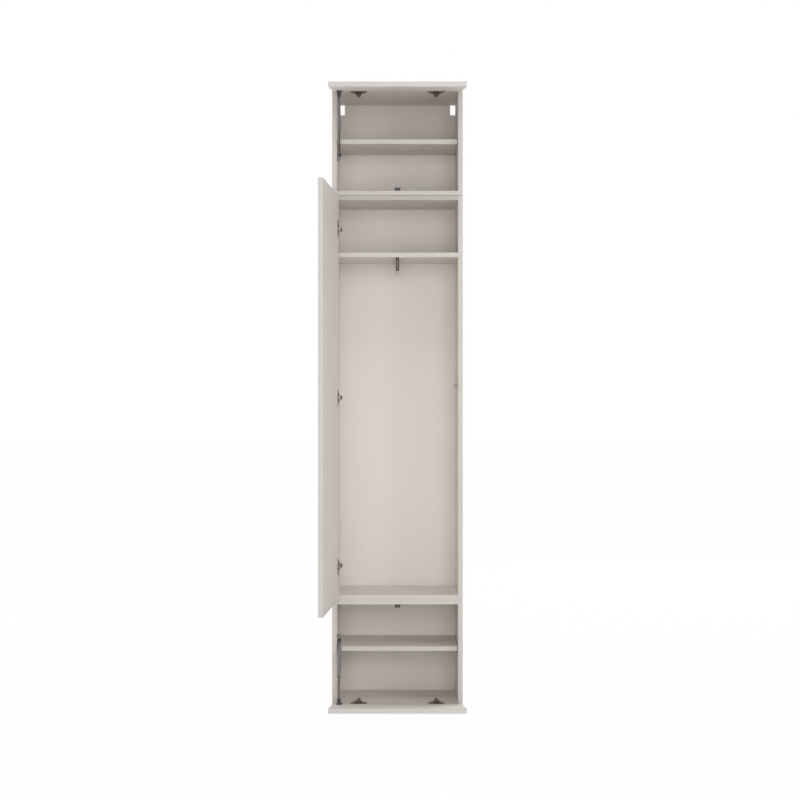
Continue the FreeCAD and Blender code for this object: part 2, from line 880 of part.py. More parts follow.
main_stations = [s.main_hinge_inset - s.tall_module / 2, ZERO, s.tall_module / 2 - s.main_hinge_inset]
flap_stations = [-s.flap_hinge_spread, s.flap_hinge_spread]

cabinet_screws = []


def make_hinges(door, frame, stations, board, masters):
    """All the hinges of one door, and the holes for them in the door and the board behind."""
    cup, arm, plate, pin = masters
    for master, word, put in (
        (cup, "cup", frame.opened),
        (pin, "pin", frame.opened),
        (arm, "arm", frame.closed),
        (plate, "plate", frame.closed),
    ):
        pieces = spread(master, f"{door}_{word}", stations, (ZERO, ZERO, ZERO))
        node(put(group(f"{door}_{word}_group", pieces)), f"{door}_hinge_{word}s")
    for i, station in enumerate(stations):
        seat = rod(f"{door}_cup_seat_{i}", (cup_centre, cup_bottom, station), s.cup_radius,
                   s.cup_depth + s.overrun, TOWARDS_Y)
        drill(door, seat)
    for i, spot in enumerate(cup_screw_spots):
        for part in spread(screw_space, f"{door}_cup_pilot_{i}", stations, spot, INTO_MINUS_Y):
            drill(door, part)
    for i, spot in enumerate(plate_screw_spots):
        pilots = spread(screw_space, f"{door}_plate_pilot_{i}", stations, spot, INTO_MINUS_X)
        drill(board, frame.closed(group(f"{door}_plate_pilots_{i}", pilots)))
        screws = spread(screw, f"{door}_plate_screw_{i}", stations, spot, INTO_MINUS_X)
        cabinet_screws.append(frame.closed(group(f"{door}_plate_screws_{i}", screws)))


def make_door(label, frame, height, width, extra_screws=()):
    """A door panel with its screws; height runs away from the hinged edge, width along it."""
    blank = box(label + "_blank", (-s.pin_inset, s.pin_depth - s.door_board, -(width / 2)),
                (height, s.door_board, width))
    smooth = rounded(label + "_round", blank, s.edge_round)
    node(frame.opened(cut(label + "_panel", smooth, holes[label])), label)
    stations = main_stations if label == "main_door" else flap_stations
    screws = list(extra_screws)
    for i, spot in enumerate(cup_screw_spots):
        screws += spread(screw, f"{label}_cup_screw_{i}", stations, spot, INTO_MINUS_Y)
    node(frame.opened(group(label + "_screw_group", screws)), label + "_screws")


# Gas struts, in a frame with its origin on a ball and y along the strut

ball_x = s.ball_along - s.pin_inset
ball_y = s.pin_depth + s.ball_offset
foot_x = s.strut_foot_height - s.door_reveal - s.pin_inset
foot_y = s.strut_foot_setback + front_edge


def turned_ball(opening):
    """Where the flap's ball is in the hinge frame, with the flap open by an angle."""
    x = ball_x * opening.cosine() + ball_y * opening.sine()
    y = ball_y * opening.cosine() - ball_x * opening.sine()
    return x, y


def strut_length(opening):
    """The distance from ball to foot, with the flap open by an angle."""
    x, y = turned_ball(opening)
    across, up = foot_x - x, foot_y - y
    return (across * across + up * up).root()


def strut_direction(opening):
    """The angle of a strut in the hinge frame, from ball to foot, in degrees."""
    x, y = turned_ball(opening)
    return math.degrees(math.atan2((foot_y - y).value, (foot_x - x).value))


def cylinder_outline():
    """Half outline of the strut's cylinder with its gland at the far end."""
    start = s.socket_reach
    end = s.socket_reach + s.cylinder_length
    bore = s.rod_radius + s.running_gap
    inside = s.cylinder_radius - s.cylinder_wall
    return [
        (ZERO, start),
        (s.cylinder_radius - s.cylinder_round, start),
        (s.cylinder_radius, start + s.cylinder_round),
        (s.cylinder_radius, end - s.cylinder_round),
        (s.cylinder_radius - s.cylinder_round, end),
        (bore, end),
        (bore, end - s.gland_length),
        (inside, end - s.gland_length),
        (inside, start + s.cylinder_cap),
        (ZERO, start + s.cylinder_cap),
    ]


def rod_outline():
    """Half outline of the strut's rod with its piston."""
    stop = s.socket_reach + s.cylinder_length - s.gland_length - s.piston_length - s.piston_stop_gap
    end = strut_length(s.flap_open_degrees) - stop
    piston = s.cylinder_radius - s.cylinder_wall - s.running_gap
    return [
        (ZERO, s.socket_reach),
        (s.rod_radius, s.socket_reach),
        (s.rod_radius, end - s.piston_length),
        (piston, end - s.piston_length),
        (piston, end),
        (ZERO, end),
    ]


def socket_blank(name):
    """The eye and neck of a strut's end fitting."""
    eye = rod(name + "_eye", (ZERO, ZERO, -(s.socket_width / 2)), s.socket_radius, s.socket_width)
    neck = rod(name + "_neck", (ZERO, ZERO, ZERO), s.socket_neck_radius, s.socket_reach, TOWARDS_Y)
    return [eye, neck]


def make_ball_socket(name, hand):
    """The end fitting that turns on the flap's ball; its mouth faces the ball's lug."""
    mouth_turn = NO_TURN if hand > 0 else DOWNWARDS
    tools = [
        ball(name + "_cavity", (ZERO, ZERO, ZERO), s.ball_radius + s.running_gap),
        rod(name + "_mouth", (ZERO, ZERO, ZERO), s.socket_mouth_radius, s.socket_width, mouth_turn),
    ]
    return cut(name, fuse(name + "_blank", socket_blank(name)), [fuse(name + "_space", tools)])


def make_stud_end(name, hand):
    """The end fitting with the stud that stands at the cabinet's foot plate."""
    reach = s.strut_inset - s.foot_plate_thick - s.open_pivot_gap
    turn = NO_TURN if hand > 0 else DOWNWARDS
    stud = rod(name + "_stud", (ZERO, ZERO, ZERO), s.socket_mouth_radius, reach, turn)
    return fuse(name, socket_blank(name) + [stud])


def make_flap_bracket(label, frame, hand):
    """The bracket on a flap: a plate, a lug, and a ball on a short neck."""
    plane = strut_plane * -hand
    lug_near = s.socket_width / 2 + s.lug_clear
    lug_far = lug_near + s.flap_plate_thick
    outer = plane - s.socket_radius * hand
    span = (s.socket_radius + lug_far)
    plate_start = outer if hand > 0 else outer - span
    lug_start = plane + lug_near * hand if hand > 0 else plane + lug_far * hand
    plate = box(label + "_plate", (ball_x - s.flap_plate_length / 2, s.pin_depth, plate_start),
                (s.flap_plate_length, s.flap_plate_thick, span))
    smooth = rounded(label + "_plate_round", plate, s.socket_radius / 2, lambda edge: runs_along(edge, 1))
    parts = [
        box(label + "_lug", (ball_x - s.lug_width / 2, s.pin_depth, lug_start),
            (s.lug_width, s.ball_offset, s.flap_plate_thick)),
        rod(label + "_lug_eye", (ball_x, ball_y, lug_start), s.lug_width / 2, s.flap_plate_thick),
        rod(label + "_ball_neck", (ball_x, ball_y, plane), s.ball_neck_radius, lug_near,
            NO_TURN if hand > 0 else DOWNWARDS),
        ball(label + "_ball", (ball_x, ball_y, plane), s.ball_radius),
    ]
    top = s.pin_depth + s.flap_plate_thick
    spots = [(ball_x + s.flap_screw_spread * end, top, plane) for end in (-1, 1)]
    ways = [copy_of(screw_space, f"{label}_way_{i}", spot, INTO_MINUS_Y) for i, spot in enumerate(spots)]
    flap = label.removesuffix("_strut_flap_bracket") + "_flap"
    for i, spot in enumerate(spots):
        drill(flap, copy_of(screw_space, f"{label}_pilot_{i}", spot, INTO_MINUS_Y))
    blank = fuse(label + "_blank", [smooth] + parts)
    node(frame.opened(cut(label + "_cut", blank, ways)), label)
    return [copy_of(screw, f"{label}_screw_{i}", spot, INTO_MINUS_Y) for i, spot in enumerate(spots)]


def make_foot_plate(label, height, board):
    """The cabinet's plate that the strut's stud stands at, on the left side."""
    wall = -inner_half
    y = front + s.strut_foot_setback
    plate = box(label + "_blank", (wall, y - s.foot_plate_width / 2, height - s.foot_plate_length / 2),
                (s.foot_plate_thick, s.foot_plate_width, s.foot_plate_length))
    smooth = rounded(label + "_round", plate, s.foot_plate_corner, lambda edge: runs_along(edge, 0))
    spots = [(wall + s.foot_plate_thick, y, height + s.foot_screw_spread * end) for end in (-1, 1)]
    ways = [copy_of(screw_space, f"{label}_way_{i}", spot, INTO_MINUS_X) for i, spot in enumerate(spots)]
    for i, spot in enumerate(spots):
        drill(board, copy_of(screw_space, f"{label}_pilot_{i}", spot, INTO_MINUS_X))
        cabinet_screws.append(copy_of(screw, f"{label}_screw_{i}", spot, INTO_MINUS_X))
    node(cut(label + "_cut", smooth, ways), label)


def strut_placement(frame, hand, from_foot):
    """Where a strut piece stands in the open pose: from the flap's ball, or from the foot back to it."""
    direction = strut_direction(s.flap_open_degrees)
    x, y = turned_ball(s.flap_open_degrees)
    if from_foot:
        x, y, direction = foot_x, foot_y, direction + 180
    spot = Vector(x.value, y.value, strut_plane.value * -hand)
    local = Placement(spot, Rotation(Vector(0, 0, 1), direction - 90))
    corner = Vector(*[length.value for length in frame.corner])
    return Placement(corner, frame.turn) * local


def make_strut(label, frame, hand, cylinder_at_flap, foot_height):
    """A gas strut; hand says which way along the pin the middle of the cabinet lies."""
    cylinder = turned(label + "_cylinder_body", cylinder_outline())
    rod_part = turned(label + "_rod_body", rod_outline())
    flap_end = make_ball_socket(label + "_flap_socket_cut", hand)
    foot_end = make_stud_end(label + "_foot_end_blank", -hand)
    node(cylinder, label + "_cylinder", strut_placement(frame, hand, not cylinder_at_flap))
    node(rod_part, label + "_rod", strut_placement(frame, hand, cylinder_at_flap))
    node(flap_end, label + "_flap_socket", strut_placement(frame, hand, False))
    node(foot_end, label + "_foot_end", strut_placement(frame, hand, True))
    board = label.removesuffix("_strut") + "_side_left"
    make_foot_plate(label + "_foot_plate", foot_height, board)
    return make_flap_bracket(label + "_flap_bracket", frame, hand)


# Push latches, in a frame with y into the cabinet and z away from the panel

def make_latch_housing():
    """The latch's block with the bore for its plunger and a screw tab behind."""
    block = box("latch_block", (-(s.latch_width / 2), s.latch_setback, ZERO),
                (s.latch_width, s.latch_length, s.latch_height))
    smooth = rounded("latch_block_round", block, s.latch_round, lambda edge: runs_along(edge, 1))
    tab = box("latch_tab", (-(s.latch_width / 2), s.latch_setback + s.latch_length, ZERO),
              (s.latch_width, s.latch_tab_length, s.latch_tab_thick))
    bore = rod("latch_bore", (ZERO, s.latch_setback - s.overrun, s.latch_height / 2),
               s.plunger_radius + s.running_gap, s.plunger_bore_depth + s.overrun, TOWARDS_Y)
    ways = [
        copy_of(screw_space, f"latch_way_{i}", spot, INTO_MINUS_Z)
        for i, spot in enumerate(latch_spots)
    ]
    return cut("latch_housing", fuse("latch_blank", [smooth, tab]), [bore] + ways)


latch_tab_middle = s.latch_setback + s.latch_length + s.latch_tab_length / 2
latch_spots = [(s.latch_screw_spread * hand, latch_tab_middle, s.latch_tab_thick) for hand in (-1, 1)]


def plunger_outline():
    """Half outline of a plunger, its rounded tip first."""
    return [
        (ZERO, ZERO),
        (s.plunger_radius - s.plunger_round, ZERO),
        (s.plunger_radius, s.plunger_round),
        (s.plunger_radius, s.plunger_length),
        (ZERO, s.plunger_length),
    ]


def make_latches():
    """Three push latches: one for each door."""
    housing = make_latch_housing()
    flat = NO_TURN
    over = Rotation(Vector(0, 1, 0), 180)
    sideways = Rotation(Vector(0, 1, 0), -90)
    seats = (
        ("low", "low_roof", (ZERO, front, s.flap_module - s.board), over),
        ("main", "tall_side_right", (inner_half, front, tall_floor + s.side_latch_height), sideways),
        ("top", "top_base", (ZERO, front, tall_top + s.board), flat),
    )
    housings = []
    for label, board, corner, turn in seats:
        housings.append(copy_of(housing, f"{label}_latch_housing", corner, turn))
        pilots, screws = [
            group(f"{label}_latch_{word}s", [
                copy_of(master, f"{label}_latch_{word}_{i}", spot, INTO_MINUS_Z)
                for i, spot in enumerate(latch_spots)
            ])
            for word, master in (("pilot", screw_space), ("screw", screw))
        ]
        drill(board, place(pilots, corner, turn))
        cabinet_screws.append(place(screws, corner, turn))
        plunger = turned(f"{label}_plunger_body", plunger_outline())
        tip = Vector(0, (s.latch_setback - s.plunger_proud).value, s.latch_height.value / 2)
        base = Placement(Vector(*[length.value for length in corner]), turn)
        node(plunger, f"{label}_latch_plunger", base * Placement(tip, NO_TURN))
    node(group("latch_housing_group", housings), "latch_housings")


# Pull-out valet rail, in a frame on the underside of the hat shelf with y into the cabinet

rail_corner = (ZERO, front, hat_shelf_floor)


def make_rail_bracket():
    """The fixed channel with a screw plate at each end."""
    half = s.rail_width / 2
    end = s.rail_setback + rail_length
    plate_half = s.rail_plate_width / 2
    body = box("rail_channel", (-half, s.rail_setback, -s.rail_height),
               (s.rail_width, rail_length, s.rail_height))
    plates = []
    for i, y in enumerate((s.rail_setback, end - s.rail_plate_length)):
        plate = box(f"rail_plate_{i}", (-plate_half, y, -s.rail_plate_thick),
                    (s.rail_plate_width, s.rail_plate_length, s.rail_plate_thick))
        plates.append(rounded(f"rail_plate_{i}_round", plate, s.rail_plate_corner, upright))
    inside = half - s.rail_wall
    slot = inside - s.rail_lip
    tools = [
        box("rail_inside", (-inside, s.rail_setback - s.overrun, s.rail_lip - s.rail_height),
            (inside * 2, rail_length + s.overrun * 2, s.rail_height - s.rail_lip - s.rail_plate_thick)),
        box("rail_slot", (-slot, s.rail_setback - s.overrun, -(s.rail_height + s.overrun)),
            (slot * 2, rail_length + s.overrun * 2, s.rail_height)),
    ]
    spots = [
        (s.rail_screw_spread * hand, y, -s.rail_plate_thick)
        for hand in (-1, 1)
        for y in (s.rail_setback + s.rail_plate_length / 2, end - s.rail_plate_length / 2)
    ]
    ways = [copy_of(screw_space, f"rail_way_{i}", spot, INTO_Z) for i, spot in enumerate(spots)]
    pilots = [copy_of(screw_space, f"rail_pilot_{i}", spot, INTO_Z) for i, spot in enumerate(spots)]
    screws = [copy_of(screw, f"rail_screw_{i}", spot, INTO_Z) for i, spot in enumerate(spots)]
    drill("hat_shelf", place(group("rail_pilots", pilots), rail_corner))
    cabinet_screws.append(place(group("rail_screws", screws), rail_corner))
    opened = cut("rail_opened", fuse("rail_blank", [body] + plates), [fuse("rail_space", tools)])
    node(place(cut("rail_bracket_cut", opened, ways), rail_corner), "valet_rail_bracket")


def make_rail_bar():
    """The sliding bar: a runner in the channel, two legs, and the rod that hangers go on."""
    half = s.rail_width / 2
    inside = half - s.rail_wall - s.rail_gap
    slot = half - s.rail_wall - s.rail_lip - s.rail_gap
    leg_back = s.rail_setback - s.rail_gap
    leg_front = leg_back - s.rail_leg
    end = s.rail_setback + rail_length
    rod_z = half - s.rail_drop
    runner_low = s.rail_lip + s.rail_gap - s.rail_height
    runner_height = s.rail_height - s.rail_lip - s.rail_plate_thick - s.rail_gap * 2
    parts = [
        box("rail_runner", (-inside, leg_front, runner_low), (inside * 2, end - leg_front, runner_height)),
        box("rail_front_leg", (-half, leg_front, rod_z), (s.rail_width, s.rail_leg, -(rod_z + s.rail_gap))),
        rod("rail_front_foot", (ZERO, leg_front, rod_z), half, s.rail_leg, TOWARDS_Y),
        box("rail_rear_leg", (-slot, end - s.rail_leg, rod_z),
            (slot * 2, s.rail_leg, runner_low - rod_z + s.rail_gap)),
        rod("rail_rod", (ZERO, leg_front, rod_z), s.rail_rod_radius, end - leg_front, TOWARDS_Y),
    ]
    groove = box("rail_groove", (-(s.rail_groove_width / 2), leg_front - s.overrun, rod_z),
                 (s.rail_groove_width, s.overrun + s.rail_leg_groove, -(rod_z + s.rail_leg)))
    node(place(cut("rail_bar_cut", fuse("rail_bar_blank", parts), [groove]), rail_corner), "valet_rail_bar")


# Boards

def in_front(edge):
    """Whether an edge runs along X in the front plane."""
    return runs_along(edge, 0) and math.isclose(edge.Vertexes[0].Point.y, front.value, abs_tol=1e-6)


def make_board(label, corner, span, front_only=False):
    """A board with its rounded edges and all the holes kept for it."""
    blank = box(label + "_blank", corner, span)
    smooth = rounded(label + "_round", blank, s.edge_round, in_front if front_only else None)
    node(cut(label + "_board", smooth, holes.get(label, [])), label)


def make_module(module, floor, height):
    """The two sides and the thin back of a module."""
    make_board(f"{module}_side_left", (-half_width, front, floor), (s.board, board_depth, height))
    make_board(f"{module}_side_right", (inner_half, front, floor), (s.board, board_depth, height))
    blank = box(f"{module}_back_blank", (s.back_reveal - half_width, back_face, floor + s.back_reveal),
                (s.cabinet_width - s.back_reveal * 2, s.back_board, height - s.back_reveal * 2))
    node(cut(f"{module}_back_board", blank, holes[f"{module}_back"]), f"{module}_back")


def make_shelf(label, floor):
    """An adjustable shelf on its four pins."""
    half = inner_half - s.shelf_end_gap
    depth = board_depth - s.shelf_setback - s.shelf_back_gap
    make_board(label, (-half, front + s.shelf_setback, floor), (half * 2, depth, s.board))


def cut_wall_slots():
    """The two slots in the top back for wall hangers, in the corners under the roof."""
    top = cabinet_top - s.board
    for hand, name in ((-1, "left"), (1, "right")):
        start = -inner_half if hand < 0 else inner_half - s.slot_width
        drill("top_back", box(f"wall_slot_{name}", (start, back_face - s.overrun, top - s.slot_height),
                              (s.slot_width, s.back_board + s.overrun * 2, s.slot_height)))


def build():
    """Build every piece, fasteners before the boards that they go into."""
    make_board_joints()
    make_connectors()
    make_nails()
    make_shelf_pins()
    pin = make_pin()
    masters = (make_cup(cup_screw_spots), make_arm(), make_plate(plate_screw_spots), pin)
    make_hinges("main_door", main_frame, main_stations, "tall_side_left", masters)
    make_hinges("top_flap", top_frame, flap_stations, "top_roof", masters)
    make_hinges("low_flap", low_frame, flap_stations, "low_base", masters)
    top_screws = make_strut("top_strut", top_frame, 1, True, cabinet_top - s.strut_foot_height)
    low_screws = make_strut("low_strut", low_frame, -1, False, s.strut_foot_height)
    door_width = s.cabinet_width - s.door_reveal * 2
    flap_height = s.flap_module - s.door_reveal * 2
    make_door("main_door", main_frame, door_width, s.tall_module - s.door_reveal * 2)
    make_door("top_flap", top_frame, flap_height, door_width, top_screws)
    make_door("low_flap", low_frame, flap_height, door_width, low_screws)
    make_latches()
    make_rail_bracket()
    make_rail_bar()
    node(group("cabinet_screw_group", cabinet_screws), "cabinet_screws")
    cut_wall_slots()
    for module, floor, height in MODULES:
        make_module(module, floor, height)
    for label, module, floor, cams_up in LEVEL_BOARDS:
        make_board(label, (-inner_half, front, floor), (inner_half * 2, board_depth, s.board), True)
    make_shelf("upper_shelf", upper_shelf_floor)
    make_shelf("lower_shelf", lower_shelf_floor)


def check_document():
    """Stop if any feature failed or any node isn't sound."""
    for item in doc.Objects:
        if "Invalid" in item.State or "Error" in item.State:
            raise RuntimeError(f"{item.Name} failed: {item.State}")
    for item in nodes:
        if item.Shape.isNull() or not item.Shape.isValid() or not item.Shape.Solids:
            raise RuntimeError(f"{item.Label} isn't a sound solid")


def report_motion():
    """Print what the moving pieces need: pins, balls, and the struts' lengths and swing."""
    for name, frame in (("main_door", main_frame), ("top_flap", top_frame), ("low_flap", low_frame)):
        corner = [round(length.value, 3) for length in frame.corner]
        print(name, "pin", corner, "open", frame.opening.value)
    swing = strut_direction(ZERO) - strut_direction(s.flap_open_degrees)
    closed, opened = strut_length(ZERO), strut_length(s.flap_open_degrees)
    turn = s.flap_open_degrees.value
    print("strut closed", round(closed.value, 3), "open", round(opened.value, 3))
    print("swing ratio", (swing - turn) / turn)
    print("slide ratio", (opened - closed).value / 1000 / math.radians(turn))
    for name, frame, hand in (("top_strut", top_frame, 1), ("low_strut", low_frame, -1)):
        at_flap = strut_placement(frame, hand, False)
        print(name, "ball", at_flap.Base, "direction", at_flap.Rotation.multVec(Vector(0, 1, 0)))


build()
doc.recompute()
check_document()
os.makedirs("parts", exist_ok=True)
for item in nodes:
    item.Shape.exportStep(f"parts/{item.Label}.step")
report_motion()
print(len(nodes), "nodes,", sum(len(item.Shape.Solids) for item in nodes), "solids")
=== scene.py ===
"""Looks of a tall hall wardrobe in three stacked carcasses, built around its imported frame."""

import json
import logging
import math
from dataclasses import dataclass, field
from enum import Enum

import bpy
from mathutils import Euler, Matrix, Vector


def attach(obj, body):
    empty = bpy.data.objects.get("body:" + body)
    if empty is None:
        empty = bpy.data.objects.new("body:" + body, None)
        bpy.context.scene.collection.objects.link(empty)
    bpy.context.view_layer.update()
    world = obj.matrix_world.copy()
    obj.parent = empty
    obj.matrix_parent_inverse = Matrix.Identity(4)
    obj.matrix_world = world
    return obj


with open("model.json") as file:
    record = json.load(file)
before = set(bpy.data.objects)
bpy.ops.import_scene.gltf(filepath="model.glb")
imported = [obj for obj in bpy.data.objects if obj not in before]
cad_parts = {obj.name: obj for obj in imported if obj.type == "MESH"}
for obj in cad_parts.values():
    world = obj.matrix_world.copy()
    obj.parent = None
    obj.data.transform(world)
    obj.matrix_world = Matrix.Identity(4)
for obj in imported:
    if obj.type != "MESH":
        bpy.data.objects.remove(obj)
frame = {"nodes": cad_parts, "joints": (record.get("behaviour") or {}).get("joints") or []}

Piece = bpy.types.Object
Material = bpy.types.Material
Tree = bpy.types.NodeTree
Socket = bpy.types.NodeSocket
Pair = tuple[float, float]
Triple = tuple[float, float, float]
Colour = tuple[float, float, float, float]

LOG = logging.getLogger("wardrobe")
MM = 0.001
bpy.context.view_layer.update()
INNER_WALL_MM = 209.0
WHITE: Colour = (1.0, 1.0, 1.0, 1.0)
FINER_SHARE = 0.55
NOISE_LOW, NOISE_HIGH = 0.3, 0.7
MERGE_M = 1e-6
SAME_WAY = 0.99
RIM_STEPS = 3
EDGE_STEPS = 2
WIRE_STEPS = 12


# Node helpers


def linear(code: str) -> Colour:
    """Turn an sRGB hex value into a linear colour.

    Args:
        code: the colour as #RRGGBB.

    Returns:
        The linear red, green, blue and an alpha of one.
    """
    channels = [int(code[i:i + 2], 16) / 255 for i in (1, 3, 5)]
    out = [c / 12.92 if c <= 0.04045 else ((c + 0.055) / 1.055) ** 2.4 for c in channels]
    return out[0], out[1], out[2], 1.0


def add(tree: Tree, kind: str, given: dict | None = None, **settings: object) -> bpy.types.Node:
    """Add one node with its settings, its socket values and its links.

    Args:
        tree: the tree that gets the node.
        kind: the node's type name.
        given: socket names or numbers, each with a value or with the output that feeds it.
        settings: properties of the node itself.

    Returns:
        The new node.
    """
    made = tree.nodes.new(kind)
    for name, value in settings.items():
        setattr(made, name, value)
    for key, value in (given or {}).items():
        socket = made.inputs[key]
        if isinstance(value, Socket):
            tree.links.new(value, socket)
        else:
            socket.default_value = value
    return made


def bare_tree(owner: Material | bpy.types.World) -> Tree:
    """Give a material or a world an empty node tree.

    Args:
        owner: the material or the world.

    Returns:
        Its node tree, without a node.
    """
    owner.use_nodes = True
    owner.node_tree.nodes.clear()
    return owner.node_tree


@dataclass(frozen=True)
class Finish:
    """A finish: every one has a name, a colour and a roughness."""

    name: str
    colour: str
    roughness: float

    def begin(self) -> tuple[Material, Tree, bpy.types.Node]:
        """Start the material with its shader alone.

        Returns:
            The material, its node tree and its shader.
        """
        material = bpy.data.materials.new(self.name)
        tree = bare_tree(material)
        given = {"Base Color": linear(self.colour), "Roughness": self.roughness}
        shader = add(tree, "ShaderNodeBsdfPrincipled", given)
        add(tree, "ShaderNodeOutputMaterial", {"Surface": shader.outputs[0]})
        return material, tree, shader

    def place(self, tree: Tree) -> Socket:
        """The object's own coordinates, in metres."""
        return add(tree, "ShaderNodeTexCoord").outputs["Object"]

    def along(self, tree: Tree, axis: int) -> Socket:
        """One of those coordinates: 0 is X, 1 is Y and 2 is Z."""
        return add(tree, "ShaderNodeSeparateXYZ", {0: self.place(tree)}).outputs[axis]

    def beyond(self, tree: Tree, axis: int, from_mm: float) -> Socket:
        """One past a plane across that axis, and zero before it."""
        return self.step(tree, self.along(tree, axis), from_mm * MM, "GREATER_THAN")

    def noise(self, tree: Tree, size_mm: float, detail: float = 2.0) -> Socket:
        """Noise whose lumps have a real size.

        Args:
            tree: the material's tree.
            size_mm: about how wide one lump is.
            detail: how many finer layers it has.

        Returns:
            The noise's value output.
        """
        given = {"Vector": self.place(tree), "Scale": 1 / (size_mm * MM), "Detail": detail,
                 "Roughness": FINER_SHARE}
        return add(tree, "ShaderNodeTexNoise", given).outputs[0]

    def spread(self, tree: Tree, value: Socket, low: float, high: float) -> Socket:
        """Bring the middle of a noise to a range.

        Args:
            tree: the material's tree.
            value: the noise.
            low: what the noise's low end becomes.
            high: what its high end becomes.

        Returns:
            The new value.
        """
        given = {"Value": value, "From Min": NOISE_LOW, "From Max": NOISE_HIGH, "To Min": low,
                 "To Max": high}
        return add(tree, "ShaderNodeMapRange", given).outputs[0]

    def tint(self, tree: Tree, share: Socket | float, first: object, second: object,
             blend: str = "MIX") -> Socket:
        """Mix two colours.

        Args:
            tree: the material's tree.
            share: how much of the second colour there is.
            first: the first colour or its output.
            second: the second colour or its output.
            blend: how they are mixed.

        Returns:
            The mixed colour.
        """
        given = {0: share, 6: first, 7: second}
        return add(tree, "ShaderNodeMix", given, data_type="RGBA", blend_type=blend).outputs[2]

    def shade(self, tree: Tree, colour: object, grey: Socket) -> Socket:
        """Darken or lighten a colour evenly.

        Args:
            tree: the material's tree.
            colour: the colour or its output.
            grey: the value that multiplies all three channels.

        Returns:
            The new colour.
        """
        even = add(tree, "ShaderNodeCombineColor", {i: grey for i in range(3)}).outputs[0]
        return self.tint(tree, 1.0, colour, even, "MULTIPLY")

    def bump(self, tree: Tree, shader: bpy.types.Node, height: Socket, strength: float,
             depth_mm: float) -> None:
        """Raise the surface by a height pattern.

        Args:
            tree: the material's tree.
            shader: the shader that gets it.
            height: the pattern.
            strength: from 0 to 1.
            depth_mm: the real depth of the pattern.
        """
        given = {"Height": height, "Strength": strength, "Distance": depth_mm * MM}
        tree.links.new(add(tree, "ShaderNodeBump", given).outputs[0], shader.inputs["Normal"])

    def step(self, tree: Tree, value: object, limit: object, kind: str) -> Socket:
        """What a math node of that kind makes of two values."""
        return add(tree, "ShaderNodeMath", {0: value, 1: limit}, operation=kind).outputs[0]


class Banding(Enum):
    """Which edges of a board carry the glued edge strip."""

    FRONT = "front"
    ALL_ROUND = "all round"


